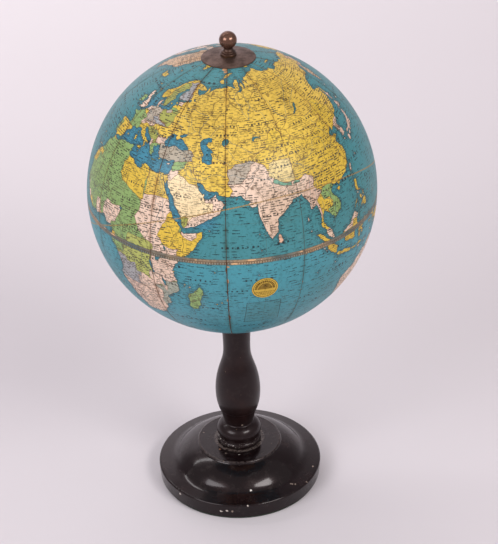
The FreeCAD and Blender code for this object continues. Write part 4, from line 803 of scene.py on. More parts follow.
def open_edges(triangles):
    """The directed edges of the triangles that no neighbour shares."""
    edges = dict.fromkeys(edge for a, b, c in triangles for edge in ((a, b), (b, c), (c, a)))
    return [(p, q) for p, q in edges if (q, p) not in edges]


# A corner of a gore's mesh is a point of the map at one of these levels under the printed face.
FACE, CUT_TOP, PIT, CUT_FOOT = range(4)
LEVEL_DROP = (0, 0, PIT_DEPTH, PAPER_T)


def gore_polygons(tops, tints, pits, pit_tints):
    """(corners, colour, level) of each polygon: the printed face, the cut edges and the pits of chips."""
    made = [([(n, FACE) for n in corners], tint, FACE) for corners, tint in zip(tops, tints)]
    cut = (*ink["board"], PLAIN)
    for a, b in open_edges(tops):
        made.append(([(b, CUT_TOP), (a, CUT_TOP), (a, CUT_FOOT), (b, CUT_FOOT)], cut, CUT_TOP))
    made += [([(n, PIT) for n in corners], tint, PIT) for corners, tint in zip(pits, pit_tints)]
    return made


def shade_round(mesh, normals, levels):
    """Shades the printed face as part of the sphere, and the cut edges flat."""
    mesh.polygons.foreach_set("use_smooth", [level != CUT_TOP for level in levels])
    loops = np.empty(len(mesh.loops), dtype=np.int32)
    mesh.loops.foreach_get("vertex_index", loops)
    mesh.update()
    loop_normals = normals[loops]
    for polygon, level in zip(mesh.polygons, levels):
        if level == CUT_TOP:
            loop_normals[polygon.loop_indices] = tuple(polygon.normal)
    mesh.normals_split_custom_set(loop_normals.tolist())


def build_gore(name, parts, points, shores, material):
    """One half gore, with its ink and its place on the map kept on the mesh for the material."""
    made = gore_polygons(*parts)
    places = {}
    polygons = [[places.setdefault(corner, len(places)) for corner in corners] for corners, _, _ in made]
    colours = [tint for corners, tint, _ in made for _ in corners]
    lonlat = points[[number for number, _ in places]]
    drop = np.array([LEVEL_DROP[level] for _, level in places])
    verts = on_globe(lonlat, GLOBE_R - drop)
    obj = mesh_object("map_" + name, verts, polygons, material)
    shade = obj.data.color_attributes.new("ink", "FLOAT_COLOR", "CORNER")
    shade.data.foreach_set("color", np.array(colours, dtype=np.float32).ravel())
    shore_mm = np.array([shores.find(v)[2] for v in verts]) * 1000
    geo = obj.data.attributes.new("geo", "FLOAT_VECTOR", "POINT")
    geo.data.foreach_set("vector", np.column_stack([lonlat, shore_mm]).astype(np.float32).ravel())
    normals = verts - np.array(GLOBE_CENTRE)
    normals /= np.linalg.norm(normals, axis=1, keepdims=True)
    shade_round(obj.data, normals, [level for _, _, level in made])
    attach(obj, "globe")
    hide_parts("gore_" + name)


def build_map(material):
    add_lands()
    add_water_and_islets()
    add_wear()
    add_gores()
    points, triangles, owners = cut_up()
    by_gore = [([], [], [], []) for _ in gores]     # printed triangles, their colours; chips, their colours
    for triangle, owner in zip(triangles, owners):
        gore, colour, printed, chipped = look(owner)
        if gore >= 0:
            tops, tints, pits, pit_tints = by_gore[gore]
            (pits if chipped else tops).append(triangle)
            (pit_tints if chipped else tints).append((*ink[colour], printed))
    shores = shore_distances()
    for (half, west), parts in zip(gores, by_gore):
        name = f"{'north' if half == 1 else 'south'}_{west:03d}"
        build_gore(name, parts, points, shores, material)


# ---- materials ---------------------------------------------------------------------------
class Wire:
    """A value in a node tree that can be reckoned with."""

    def __init__(self, graph, socket):
        self.graph, self.socket = graph, socket

    def __add__(self, other):
        return self.graph.math("ADD", self, other)

    def __sub__(self, other):
        return self.graph.math("SUBTRACT", self, other)

    def __rsub__(self, other):
        return self.graph.math("SUBTRACT", other, self)

    def __mul__(self, other):
        return self.graph.math("MULTIPLY", self, other)

    def __truediv__(self, other):
        return self.graph.math("DIVIDE", self, other)

    def __lt__(self, other):
        return self.graph.math("LESS_THAN", self, other)

    def __gt__(self, other):
        return self.graph.math("GREATER_THAN", self, other)

    __radd__, __rmul__ = __add__, __mul__


class Graph:
    """A material with one Principled shader, the colour painted so far and short hands for its nodes."""

    def __init__(self, name):
        self.material = bpy.data.materials.new(name)
        self.material.use_nodes = True
        self.tree = self.material.node_tree
        self.bsdf = self.tree.nodes["Principled BSDF"]
        self.place = None
        self.colour = None

    def plug(self, socket, value):
        if isinstance(value, Wire):
            self.tree.links.new(value.socket, socket)
        else:
            socket.default_value = value

    def node(self, kind, inputs, output=0, **settings):
        made = self.tree.nodes.new("ShaderNode" + kind)
        for key, value in settings.items():
            setattr(made, key, value)
        for key, value in inputs.items():
            self.plug(made.inputs[key], value)
        return Wire(self, made.outputs[output])

    def math(self, operation, *values, clamp=False):
        return self.node("Math", dict(enumerate(values)), operation=operation, use_clamp=clamp)

    def floor(self, x):
        return self.math("FLOOR", x)

    def fract(self, x):
        return self.math("FRACT", x)

    def size(self, x):
        return self.math("ABSOLUTE", x)

    def either(self, a, b):
        return self.math("MAXIMUM", a, b)

    def smooth(self, x, low, high):
        """0 below low and 1 above high, or the other way round if low is the greater."""
        limits = {"Value": x, "From Min": low, "From Max": high}
        return self.node("MapRange", limits, interpolation_type="SMOOTHSTEP")

    def vector(self, x, y, z=0.0):
        return self.node("CombineXYZ", {0: x, 1: y, 2: z})

    def split(self, vector):
        made = self.tree.nodes.new("ShaderNodeSeparateXYZ")
        self.plug(made.inputs[0], vector)
        return [Wire(self, s) for s in made.outputs]

    def where(self):
        """The place on the object, in metres, which moves with it."""
        if self.place is None:
            self.place = self.node("TexCoord", {}, output="Object")
        return self.place

    def from_axis(self):
        x, y, _ = self.split(self.where())
        return self.math("SQRT", x * x + y * y)

    def noise(self, scale, detail=3.0, rough=0.55, seed=0.0):
        inputs = {"Vector": self.where(), "Scale": scale, "Detail": detail, "Roughness": rough, "W": seed}
        return self.node("TexNoise", inputs, noise_dimensions="4D")

    def stretched_noise(self, vector, scale, detail):
        """Noise over a vector of the caller's own, which stretches it into grain, rings or strokes."""
        return self.node("TexNoise", {"Vector": vector, "Scale": scale, "Detail": detail})

    def white(self, x, y, z=0.0):
        return self.node("TexWhiteNoise", {"Vector": self.vector(x, y, z)}, noise_dimensions="3D")

    def mix(self, share, a, b, blend="MIX"):
        made = self.tree.nodes.new("ShaderNodeMix")
        made.data_type, made.blend_type = "RGBA", blend
        for socket, value in ((made.inputs[0], share), (made.inputs[6], a), (made.inputs[7], b)):
            self.plug(socket, value)
        return Wire(self, made.outputs[2])

    def paint(self, share, tone, blend="MIX"):
        """Lays an sRGB tone over the colour so far, where share is above 0."""
        self.colour = self.mix(share, self.colour, rgba(tone), blend)

    def bump(self, height, depth, strength=1.0):
        inputs = {"Height": height, "Distance": depth, "Strength": strength}
        self.plug(self.bsdf.inputs["Normal"], self.node("Bump", inputs, output="Normal"))

    def shader(self, **values):
        """The material, with these values on the shader's own sockets."""
        self.plug(self.bsdf.inputs["Base Color"], self.colour)
        for key, value in values.items():
            self.plug(self.bsdf.inputs[key.replace("_", " ")], value)
        return self.material


# Print: height of a row, length of a word's place and of a letter's place in mm, share of places
# that hold a word, seed, half the height of the tallest letter over its row's, width of the
# narrowest letter over its place's, and length of the longest word over its place's.
FINE_PRINT = (1.9, 7.2, 0.72, 0.72, 1.0, 0.30, 0.78, 0.95)
FINER_PRINT = (1.5, 5.2, 0.52, 0.60, 5.0, 0.30, 0.78, 0.9)
WIDE_PRINT = (7.5, 34.0, 2.9, 0.40, 9.0, 0.13, 0.26, 0.8)
SEA_PRINT = (2.7, 8.0, 0.75, 0.42, 13.0, 0.17, 0.72, 0.8)
WIDE_SEA_PRINT = (11.0, 46.0, 4.2, 0.48, 17.0, 0.11, 0.26, 0.7)

PRINT_INK = (0.035, 0.03, 0.024, 1)      # linear, not sRGB
GRID_STEP = 15                           # degrees between meridians and between parallels
PANEL_LON, PANEL_LAT = 74.5, -27.8       # middle of the title panel
PANEL_HALF, PANEL_LINE = (14.8, 15.8), 0.55    # its half width and height, and its line, in mm
ECLIPTIC_TILT = math.radians(23.44)


class MapPaper(Graph):
    """Varnished map paper in layers: inks, print and graticule, then a century's yellowing and soiling."""

    def __init__(self):
        super().__init__("printed_paper")
        geo = self.node("Attribute", {}, output="Vector", attribute_name="geo")
        self.lon, self.lat, self.shore = self.split(geo)          # degrees, degrees and mm to a shore
        ink_node = self.tree.nodes.new("ShaderNodeVertexColor")
        ink_node.layer_name = "ink"
        self.colour, kind = Wire(self, ink_node.outputs[0]), Wire(self, ink_node.outputs[1])
        self.ink_red = self.split(self.colour)[0]
        self.on_land, self.at_sea = kind > 0.75, kind < 0.25
        self.is_plain = self.size(kind - PLAIN) < 0.1
        self.y = self.lat * MM_PER_DEG                            # mm north of the equator
        self.from_equator = self.size(self.y)
        self.cos_lat = self.math("COSINE", self.math("RADIANS", self.lat))
        self.to_seam = self.mm_to_line(self.lon, GORE_SPAN) * self.cos_lat
        self.sway = (self.noise(14, 1.0, seed=3.0) - 0.5) * 5.0

    def mm_to_line(self, degrees, step):
        """How far it is to the nearest of the lines drawn every step degrees, as on the equator."""
        return self.size(self.fract(degrees / step + 0.5) - 0.5) * step * MM_PER_DEG

    def print_rows(self, row_mm, word_mm, letter_mm, density, seed, tall, fill, longest):
        """Rows of tiny strokes that read as small print from afar and spell nothing."""
        shift = seed * 0.37
        up = (self.y + self.sway) / row_mm + shift
        row, v = self.floor(up), self.fract(up)
        row_lat = (row + 0.5 - shift) * (row_mm / MM_PER_DEG)
        along = self.lon * self.math("COSINE", self.math("RADIANS", row_lat)) * MM_PER_DEG
        along = along + self.white(row, seed) * 40
        word = along / word_mm
        chance = self.white(self.floor(word), row, seed + 1.0)
        length = self.white(self.floor(word), row, seed + 2.0) * (longest - 0.3) + 0.3
        letter = along / letter_mm
        shape = self.white(self.floor(letter), row, seed + 3.0)
        height = shape * tall * 0.5 + tall * 0.5
        stroke = (self.fract(letter) < (shape * 0.25 + fill)) * (self.size(v - 0.5) < height)
        return stroke * (chance < density) * (self.fract(word) < length)

    def hatching(self):
        """Engraved shading: short level dashes that run out from every shore."""
        line = (self.y + 0.2) / 0.85
        reach = self.white(self.floor(line), self.floor(self.lon * 1.3)) * 3.6 + 0.5
        return (self.fract(line) < 0.48) * (self.shore < reach) * self.at_sea

    def currents(self):
        """Short wandering strokes in the open sea."""
        way = self.vector(self.lon * 0.10 + self.lat * 0.07, self.lat * 0.22 - self.lon * 0.05, 2.0)
        drift = self.stretched_noise(way, 1.6, 2.0)
        broken = self.noise(46, 1.0, seed=25.0) > 0.53
        return (self.size(drift - 0.5) < 0.0055) * broken * (self.shore > 3.0) * self.at_sea

    def provinces(self):
        """Faint administrative lines inside the lands."""
        warp = self.node("TexNoise", {"Vector": self.where(), "Scale": 95.0, "Detail": 3.0}, output="Color")
        bend = {0: warp, 1: (0.012, 0.012, 0.012), 2: self.where()}
        bent = self.node("VectorMath", bend, operation="MULTIPLY_ADD")
        cells = self.node("TexVoronoi", {"Vector": bent, "Scale": 74.0}, feature="DISTANCE_TO_EDGE")
        return (cells < 0.022) * self.on_land * (self.noise(40, 1.0, seed=21.0) > 0.40)

    def paint_title_panel(self):
        """A plain panel in the southern ocean, with nothing to read in it."""
        across = self.size(self.lon - PANEL_LON) * self.cos_lat * MM_PER_DEG
        up = self.size(self.lat - PANEL_LAT) * MM_PER_DEG
        half_w, half_h = PANEL_HALF
        panel = (across < half_w) * (up < half_h)
        edge = panel - (across < half_w - PANEL_LINE) * (up < half_h - PANEL_LINE)
        self.paint(panel * 0.24, (62, 100, 92))
        self.paint(edge * 0.8, (26, 48, 54))

    def paint_ecliptic(self):
        tilt = self.math("TANGENT", ECLIPTIC_TILT)
        rise = self.math("SINE", self.math("RADIANS", self.lon)) * tilt
        off = self.size(self.lat - self.math("DEGREES", self.math("ARCTANGENT", rise))) * MM_PER_DEG
        notch = (self.fract(self.lon) < 0.35) * (off < 0.75)
        self.paint(self.either(off < 0.42, notch) * 0.75, (166, 128, 58))

    def paint_map(self):
        """Everything printed on the lands and seas."""
        lon, lat = self.lon, self.lat
        inner_sea = self.smooth(lon, 60.0, 52.0) * self.smooth(lat, 11.0, 15.0)
        inner_sea = inner_sea * self.smooth(lat, 62.0, 52.0) * self.at_sea
        meridian = self.mm_to_line(lon, GRID_STEP) * self.cos_lat < 0.17
        net = self.either(meridian, self.mm_to_line(lat, GRID_STEP) < 0.13)
        self.paint(self.smooth(lat, -2.0, 2.0) * self.at_sea, (241, 234, 226), "MULTIPLY")
        self.paint(inner_sea * 0.7, (62, 134, 164))
        self.paint(net * 0.42, (84, 74, 54))
        self.paint(self.provinces() * 0.60, (92, 66, 40))
        self.paint(self.hatching() * 0.80, (20, 48, 58))
        self.paint(self.currents() * 0.85, (20, 40, 46))
        self.paint_title_panel()
        self.paint_ecliptic()
        crowd = self.smooth(self.noise(28, 2.0, seed=8.0), 0.36, 0.55)
        fine, finer = self.print_rows(*FINE_PRINT), self.print_rows(*FINER_PRINT)
        small = self.either(fine * crowd, finer * (1.0 - crowd))
        text = self.either(small, self.print_rows(*WIDE_PRINT)) * self.on_land
        self.colour = self.mix(text * 0.93, self.colour, PRINT_INK)
        names = self.either(self.print_rows(*SEA_PRINT), self.print_rows(*WIDE_SEA_PRINT))
        self.paint(names * self.at_sea * 0.92, (16, 32, 38))

    def paint_equator(self):
        """Two graduated rows that meet at the seam, left out where the ink is gone."""
        off = self.from_equator
        north = self.y > 0
        tick = (self.fract(self.lon * 2.0) < 0.45) * north + (self.fract(self.lon) < 0.5) * (1.0 - north)
        inner = (off > 0.5) * (off < 2.05)
        under = self.colour
        aged = self.smooth(self.noise(30, 3.0, seed=31.0), 0.35, 0.65)
        self.colour = self.mix(aged, rgba((190, 160, 122)), rgba((92, 120, 122)))
        self.paint(tick * inner * 0.72, (84, 62, 42))
        self.paint((off > 2.15) * 0.85, (70, 56, 42))
        self.paint((off < 0.4) * 0.7, (70, 50, 34))
        bare = self.is_plain * (off < 2.2) * self.smooth(self.ink_red, 0.55, 0.62)
        self.colour = self.mix((off < 2.5) * (1.0 - bare), under, self.colour)

    def paint_age(self):
        """Blotches, fading, soiling and cracks along the seams, brown specks and scratches."""
        lon = self.lon
        self.blotch = self.noise(9, 4.0, 0.6, seed=40.0)
        self.mottle = self.noise(420, 3.0, 0.6, seed=46.0)
        ashore = 1.0 - self.at_sea * 0.45
        pale = self.smooth(self.noise(16, 5.0, 0.65, seed=43.0), 0.56, 0.80)
        darkening = self.smooth(self.noise(70, 5.0, 0.7, seed=47.0), 0.50, 0.72)
        self.paint(self.smooth(self.blotch, 0.46, 0.74) * 0.50 * ashore, (170, 154, 116), "MULTIPLY")
        self.paint(pale * 0.16, (222, 206, 178))
        self.paint(self.smooth(self.mottle, 0.48, 0.72) * 0.50, (124, 116, 98), "MULTIPLY")
        self.paint(darkening * 0.42 * ashore, (150, 140, 106), "MULTIPLY")
        fray = self.noise(150, 3.0, seed=50.0)
        each_seam = self.white(self.floor(lon / GORE_SPAN + 0.5), self.y > 0)
        age = self.smooth(self.size(lon - 45.0), 50.0, 20.0) * 0.55 + each_seam * 0.2 + 0.35
        along_seam = self.smooth(self.noise(60, 3.0, seed=51.0), 0.36, 0.62) * 0.65 + 0.35
        crack = self.smooth(self.to_seam + (fray - 0.5) * 0.6, 0.42, 0.12) * age * along_seam
        self.paint(crack * 0.95, (74, 46, 28))
        patches = self.smooth(self.noise(36, 3.0, seed=53.0), 0.35, 0.70)
        self.stain = self.smooth(self.to_seam, 3.4, 0.2) * patches
        self.paint(self.stain * age * 0.65, (170, 128, 82), "MULTIPLY")
        rub = self.smooth(self.from_equator, 7.0, 1.0) * self.smooth(fray, 0.45, 0.75)
        self.paint(rub * 0.35, (186, 140, 92), "MULTIPLY")
        self.paint(self.smooth(self.noise(260, 1.0, seed=56.0), 0.735, 0.77) * 0.75, (88, 58, 36))
        bed = self.stretched_noise(self.vector(lon * 0.55, self.lat * 0.06, 0.0), 2.2, 2.0)
        scratch = self.smooth(self.size(bed - 0.5), 0.0016, 0.0)
        scratch = scratch * self.smooth(self.noise(22, 1.0, seed=60.0), 0.60, 0.66)
        self.paint(scratch * 0.55, (120, 86, 54))


def printed_paper():
    g = MapPaper()
    g.paint_map()
    g.paint_equator()
    g.paint_age()
    g.bump(g.noise(55, 3.0, seed=63.0) + g.mottle * 0.06, 0.00016, 0.6)
    rough = 0.40 + g.blotch * 0.14 + g.stain * 0.15
    return g.shader(Roughness=rough, Specular_IOR_Level=0.34, Coat_Weight=0.16, Coat_Roughness=0.28)


def wood(name, deep, worn, rough, coat, specks, rings):
    """Black spirit lacquer over turned wood, brown where it has thinned.

    specks are chips: place, radius and tone. rings are broken bands of wear or dust: distance from the
    axis, half width, lowest and highest z, fineness, how much is left out, tone and strength.
    """
    g = Graph(name)
    x, y, z = g.split(g.where())
    cloud = g.noise(34, 4.0, 0.6, seed=2.0)
    grain = g.stretched_noise(g.vector(x * 160, y * 160, z * 22), 1.0, 3.0)
    g.colour = g.mix(g.smooth(cloud, 0.48, 0.80) * 0.55, rgba(deep), rgba(worn))
    dust = g.smooth(g.noise(120, 4.0, 0.7, seed=7.0), 0.52, 0.80)
    g.paint(dust * 0.05, (150, 138, 130))
    fleck = g.smooth(g.noise(330, 2.0, 0.6, seed=11.0), 0.735, 0.76)
    g.paint(fleck * 0.55, (150, 128, 108))
    for place, radius, tone in specks:
        far = g.node("VectorMath", {0: g.where(), 1: place}, output="Value", operation="DISTANCE")
        hit = g.smooth(far + (g.noise(520, 2.0, seed=15.0) - 0.5) * 0.0035, radius, radius * 0.55)
        g.paint(hit * 0.9, tone)
    reach = g.from_axis()
    for middle, half, low, high, grain_size, bare, tone, share in rings:
        near = g.smooth(g.size(reach - middle), half, half * 0.4) * (z > low) * (z < high)
        broken = g.smooth(g.noise(grain_size, 3.0, 0.6, seed=19.0), bare, bare + 0.07)
        g.paint(near * broken * share, tone)
    g.bump(grain * 0.5 + cloud, 0.00012, 0.35)
    gloss = rough + dust * 0.22 + g.smooth(cloud, 0.5, 0.8) * 0.12
    return g.shader(Roughness=gloss, Specular_IOR_Level=0.17, Specular_Tint=(1.0, 0.78, 0.80, 1.0),
                    Coat_Weight=coat, Coat_Roughness=rough * 0.40)


def metal(name, bright, dull, rough, seed, metallic=0.85, grain_scale=0.0, darker_below=None):
    """Old metal with a patina, turned rings if grain_scale is given, and a darker, rougher colour below a
    given height.
    """
    g = Graph(name)
    patina = g.smooth(g.noise(110, 5.0, 0.65, seed=seed), 0.38, 0.66)
    g.colour = g.mix(patina, rgba(bright), rgba(dull))
    spots = g.smooth(g.noise(520, 3.0, 0.6, seed=seed + 3), 0.62, 0.72)
    g.paint(spots * 0.5, darker(dull, 0.55))
    gloss = rough + patina * 0.16
    if darker_below:
        # Painted darker and rougher below the given height.
        z = g.split(g.where())[2]
        darkening = g.smooth(z, darker_below + 0.001, darker_below - 0.002)
        g.paint(darkening * 0.6, darker(dull, 0.4))
        gloss = gloss + darkening * 0.15
    if grain_scale:
        rings = g.stretched_noise(g.vector(g.from_axis() * grain_scale, 0.0, 0.0), 1.0, 4.0)
        gloss = gloss + (rings - 0.5) * 0.25
        g.bump(rings, 0.00005, 0.5)
    return g.shader(Metallic=metallic, Roughness=gloss)


def plain(name, tone, rough, metallic=0.0, mottled=0.25):
    """One tone, with darker patches."""
    g = Graph(name)
    patch = g.smooth(g.noise(240, 4.0, seed=5.0), 0.35, 0.70)
    g.colour = g.mix(patch * mottled, rgba(tone), rgba(darker(tone, 0.55)))
    return g.shader(Roughness=rough, Metallic=metallic)


# ---- the carried-over pieces -------------------------------------------------------------
PALE, DUSTY, RUDDY = (206, 196, 186), (146, 130, 118), (118, 86, 66)
# Marks and rings on the lacquer, as wood() takes them, in metres.
PILLAR_MARKS = [((0.004, -0.0135, 0.062), 0.0012, DUSTY), ((-0.012, -0.008, 0.1), 0.0009, DUSTY)]
PILLAR_RINGS = [(0.0198, 0.003, 0.0404, 0.0440, 900, 0.60, PALE, 0.9)]
# Marks on the foot, for foot_mark(): angle from the front, then distance from the axis, height and
# size in mm, and tone.
FOOT_MARKS = [(0.20, 61.6, 21.0, 1.2, (236, 230, 224)), (-0.20, 77.5, 8.5, 1.5, PALE),
              (-0.13, 77.5, 9.7, 1.2, PALE), (-0.06, 77.5, 9.3, 1.3, DUSTY), (-0.78, 77.5, 12.6, 1.4, PALE),
              (1.31, 72.6, 17.2, 0.9, DUSTY), (1.00, 76.7, 16.0, 1.1, DUSTY), (0.81, 67.8, 18.3, 0.9, DUSTY),
              (0.83, 69.3, 18.0, 0.9, DUSTY), (0.86, 71.0, 17.6, 0.9, DUSTY), (0.13, 77.5, 15.4, 0.9, PALE),
              (-0.75, 25.9, 38.0, 1.2, RUDDY), (-0.43, 28.2, 38.0, 0.9, DUSTY), (0.02, 27.6, 38.0, 0.9, PALE),
              (-1.79, 35.8, 38.0, 1.0, DUSTY), (2.5, 77.2, 14.8, 1.4, PALE), (-2.4, 77.3, 12.5, 1.3, DUSTY),
              (3.0, 74.0, 17.0, 1.0, PALE)]
FOOT_RINGS = [(0.0222, 0.0024, 0.0375, 0.0385, 420, 0.42, (132, 118, 112), 0.38),
              (0.0388, 0.0012, 0.0355, 0.0385, 300, 0.40, (100, 88, 84), 0.22)]
# Height below which the finial is painted darker, over its foot and neck.
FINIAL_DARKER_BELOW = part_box("finial")[0].z + 0.0070


def foot_mark(angle, reach, height, size, tone):
    place = (reach / 1000 * math.sin(angle), -reach / 1000 * math.cos(angle), height / 1000)
    return place, size / 1000, tone


def dress_nodes():
    """Gives every CAD node that isn't replaced its material."""
    foot_specks = [foot_mark(*mark) for mark in FOOT_MARKS]
    looks = {
        "pillar": wood("lacquer_pillar", (22, 11, 11), (48, 28, 24), 0.35, 0.3, PILLAR_MARKS, PILLAR_RINGS),
        "base_turning": wood("lacquer_base", (17, 9, 10), (40, 24, 23), 0.23, 0.37, foot_specks, FOOT_RINGS),
        "finial": metal("bronze_finial", (120, 86, 71), (86, 61, 51), 0.19, 4.0, 0.65,
                        darker_below=FINIAL_DARKER_BELOW),
        "hour_dial": metal("bronze_dial", (114, 92, 82), (86, 68, 60), 0.42, 9.0, grain_scale=2600.0),
        "felt_pad": plain("felt", (44, 58, 46), 0.95),
        "dial_washer": plain("brass_washer", (132, 100, 62), 0.40, 0.9),
        "thrust_washer": plain("fibre_black", (40, 34, 32), 0.7),
        "foot_washer": plain("steel_dull", (140, 138, 134), 0.45, 0.9),
        "foot_nut": plain("steel_nut", (128, 124, 118), 0.42, 0.9),
        "axle_rod": plain("steel_rod", (150, 148, 144), 0.35, 0.95),
        "axle_collar": plain("steel_collar", (132, 130, 126), 0.40, 0.9),
        "shell_north": plain("board_north", (112, 76, 50), 0.9, mottled=0.5),
        "shell_south": plain("board_south", (96, 64, 42), 0.9, mottled=0.5),
        "calotte_north": plain("polar_paper_north", (150, 136, 104), 0.5),
        "calotte_south": plain("polar_paper_south", (196, 168, 132), 0.5),
        "equator_hoop": plain("wood_hoop", (150, 116, 78), 0.8),
        "pole_block_north": plain("wood_block_north", (160, 126, 86), 0.8),
        "pole_block_south": plain("wood_block_south", (160, 126, 86), 0.8),
        "centre_tube": plain("wound_paper", (168, 146, 112), 0.85),
        "pole_bush_north": plain("brass_north", (168, 134, 78), 0.35, 0.9),
        "pole_bush_south": plain("brass_south", (168, 134, 78), 0.35, 0.9),
    }
    for node, material in looks.items():
        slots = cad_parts[node].data.materials
        slots.clear()
        slots.append(material)


# ---- the foil seal -----------------------------------------------------------------------
# Distances from the seal's middle and the heights of its plain ribbon's edges, in mm.
SEAL_MM = SEAL_R * 1000
RIM_AT, BEADS_FROM, BEADS_TO, LINE_AT, FIELD_TO, ARCH_AT = 10.45, 9.3, 9.95, 8.95, 8.8, 6.2
EDGE_FROM = 10.95                # where the foil thins toward its rim
RIBBON_LOW, RIBBON_HIGH = -3.6, -0.4


def ridge(x, middle, width):
    """1 on the ridge's line, falling away to both sides."""
    return math.exp(-((x - middle) / width) ** 2)


def field_relief(r, x, y):
    """(height in mm, dirt and painted light) to add inside the beads: a ribbon, rays and an arch above it,
    rows below.
    """
    if RIBBON_LOW < y < RIBBON_HIGH:
        edge = ridge(y, RIBBON_HIGH, 0.22) + ridge(y, RIBBON_LOW, 0.22)
        # The ribbon is kept bright and its edges darker.
        return 0.16 + 0.06 * edge, 0.02 + 0.75 * edge
    if y >= RIBBON_HIGH:
        fan = 0.5 + 0.5 * math.cos(math.atan2(y - RIBBON_HIGH, x) * 30)
        arch = ridge(r, ARCH_AT, 0.32)
        # Painted light: the raised rays and the arch are lighter, the hollows between the rays darker.
        return 0.10 * fan * min(1.0, (r + 0.5) / 4) + 0.12 * arch, 0.74 - 0.42 * fan - 0.62 * arch
    row = 0.5 + 0.5 * math.cos(y * 3.9)
    # Painted shade: darker in the grooves between the rows, with dirt.
    return 0.08 * row, 0.72 * (1 - row) * (0.55 + 0.45 * math.cos(x * 4.3 + math.floor(y * 0.62) * 2))


def seal_relief(r, turn):
    """Height over the paper in metres, and how dark the foil is at r mm from the middle: wear and dirt, with
    painted highlights on its ridges and painted shade in its hollows.
    """
    rim, inner = ridge(r, RIM_AT, 0.5), ridge(r, LINE_AT, 0.22)
    # Painted highlight: the foil is lightest on the raised rim and the inner line.
    height, dirt_and_painted_light = 0.10 + 0.24 * rim + 0.12 * inner, 0.16 - 0.16 * max(rim, inner)
    if BEADS_FROM < r < BEADS_TO:
        bead = 0.5 + 0.5 * math.cos(turn * 40)
        height += 0.08 * bead
        # Painted shade: darker in the hollows between the beads, with dirt.
        dirt_and_painted_light += 0.45 + 0.40 * (1 - bead)
    elif r < FIELD_TO:
        more_height, more_dirt_and_light = field_relief(r, r * math.cos(turn), r * math.sin(turn))
        height += more_height
        dirt_and_painted_light += more_dirt_and_light
    if r > EDGE_FROM:
        height = max(0.01, height * (SEAL_MM - r) / (SEAL_MM - EDGE_FROM))
        # Darker at the foil's thin edge.
        dirt_and_painted_light += 0.75
    return height / 1000, min(max(dirt_and_painted_light, 0.0), 1.0)


def gold_foil():
    g = Graph("gold_foil")
    # The attribute holds dirt and painted light: 0 is bright gold, a painted highlight on the ridges, and 1
    # is dark, dirt and painted shade in the hollows.
    dirt_and_painted_light = g.node("Attribute", {}, output="Fac", attribute_name="dirt_and_painted_light")
    tarnish = g.smooth(g.noise(420, 4.0, 0.6, seed=3.0), 0.45, 0.72)
    shade = g.math("ADD", dirt_and_painted_light, tarnish * 0.30, clamp=True)
    g.colour = g.mix(shade, rgba((240, 202, 88)), rgba((74, 48, 20)))
    return g.shader(Metallic=0.75, Roughness=0.36 + shade * 0.2)


def seal():
    """A round embossed foil label: beaded rim, a plain ribbon across it and rays above. It says nothing."""
    low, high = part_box("seal")
    out = ((low + high) / 2 - GLOBE_CENTRE).normalized()
    east = Vector((0, 0, 1)).cross(out).normalized()
    north = out.cross(east)
    rings, spokes = 46, 240
    verts, marks = [], []
    for i in range(rings + 1):
        r = SEAL_MM * (i / rings) ** 0.8
        for j in range(spokes):
            turn = 2 * math.pi * j / spokes
            height, dirt_and_painted_light = seal_relief(r, turn)
            aside = (east * math.cos(turn) + north * math.sin(turn)) * math.tan(r / 1000 / GLOBE_R)
            verts.append(GLOBE_CENTRE + (out + aside).normalized() * (GLOBE_R + height))
            marks.append(dirt_and_painted_light)
    polygons = []
    for i in range(rings):
        for j in range(spokes):
            a, b = i * spokes, i * spokes + spokes
            k = (j + 1) % spokes
            polygons.append([a + j, b + j, b + k, a + k])
    obj = mesh_object("seal_foil", verts, polygons, gold_foil())
    # The foil's dirt and painted light, for its colour.
    dirt_and_light_layer = obj.data.attributes.new("dirt_and_painted_light", "FLOAT", "POINT")
    dirt_and_light_layer.data.foreach_set("value", np.array(marks, dtype=np.float32))
    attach(obj, "globe")
    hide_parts("seal")


# ---- studio ------------------------------------------------------------------------------
VIEW_TURN = 2.3                  # degrees that the camera stands to the right of the front
AIM = Vector((0, 0, 0.22))


def sweep(half_width, front, back, bend, tall):
    """A pale paper floor that curves up behind the object."""
    path = [(front, 0.0), (back - bend, 0.0)]
    for t in np.linspace(0.05, math.pi / 2, 24):
        path.append((back - bend + bend * math.sin(t), bend - bend * math.cos(t)))
    path.append((back, tall))
    verts = [(x, y, z) for y, z in path for x in (-half_width, half_width)]
    polygons = [[2 * i, 2 * i + 1, 2 * i + 3, 2 * i + 2] for i in range(len(path) - 1)]
    mesh_object("backdrop", verts, polygons, plain("backdrop", (215, 208, 212), 0.85, mottled=0.0))


def lamp(name, place, facing, wide, tall, power, colour=(1.0, 1.0, 1.0)):
    light = bpy.data.lights.new(name, "AREA")
    light.shape, light.size, light.size_y, light.energy, light.color = "RECTANGLE", wide, tall, power, colour
    obj = bpy.data.objects.new(name, light)
    obj.location, obj.rotation_euler = place, facing
    bpy.context.collection.objects.link(obj)


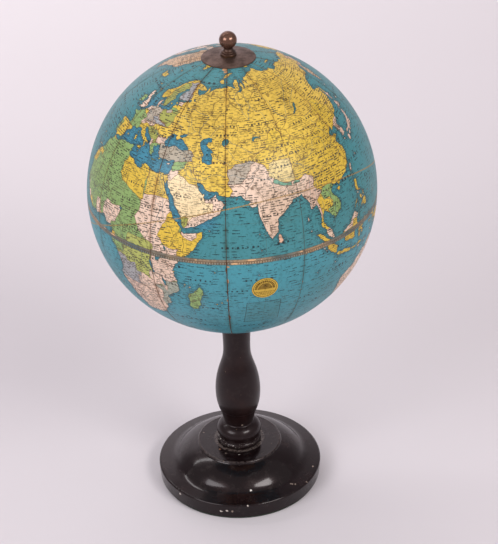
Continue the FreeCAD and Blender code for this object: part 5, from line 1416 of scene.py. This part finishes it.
def softbox(name, azimuth, elevation, distance, wide, tall, power, colour):
    """A broad lamp aimed at the globe, placed by its angle from the camera's side."""
    a, e = math.radians(azimuth + VIEW_TURN), math.radians(elevation)
    place = Vector((math.sin(a) * math.cos(e), -math.cos(a) * math.cos(e), math.sin(e))) * distance + AIM
    lamp(name, place, (AIM - place).to_track_quat("-Z", "Y").to_euler(), wide, tall, power, colour)


def studio():
    sweep(14.0, -14.0, 2.6, 1.6, 6.0)
    softbox("key", 45, 37, 1.9, 0.85, 0.50, 17, (1.0, 0.985, 0.97))
    softbox("fill", -47, 32, 2.2, 1.25, 0.80, 20.5, (0.97, 0.97, 1.0))
    lamp("backdrop_lift", (-1.3, 1.1, 2.3), (math.radians(48), 0, 0), 3.0, 0.8, 60)
    world = bpy.data.worlds.new("studio")
    world.use_nodes = True
    sky = world.node_tree.nodes["Background"].inputs
    sky["Color"].default_value = rgba((238, 233, 236))
    sky["Strength"].default_value = 0.55
    bpy.context.scene.world = world
    bpy.context.scene.view_settings.view_transform = "Standard"


# ---- camera ------------------------------------------------------------------------------
PITCH, ROLL = math.radians(31.05), math.radians(1.36)
EYE = (0.0130, -1.3358, 1.0264)
LENS_MM, SENSOR_MM = 114.27, 36


def take_view():
    forward = Vector((0, math.cos(PITCH), -math.sin(PITCH)))
    level_up, level_right = Vector((0, math.sin(PITCH), math.cos(PITCH))), Vector((1, 0, 0))
    up = level_up * math.cos(ROLL) + level_right * math.sin(ROLL)
    right = level_right * math.cos(ROLL) - level_up * math.sin(ROLL)
    lens = bpy.data.cameras.new("camera")
    lens.lens, lens.sensor_width, lens.sensor_fit = LENS_MM, SENSOR_MM, "AUTO"
    camera = bpy.data.objects.new("camera", lens)
    turn = Matrix.Rotation(math.radians(VIEW_TURN), 4, "Z")
    facing = Matrix((right, up, -forward)).transposed().to_4x4()
    camera.matrix_world = turn @ Matrix.Translation(EYE) @ facing
    bpy.context.collection.objects.link(camera)
    bpy.context.scene.camera = camera


paper = printed_paper()
dress_nodes()
build_map(paper)
seal()
studio()
take_view()
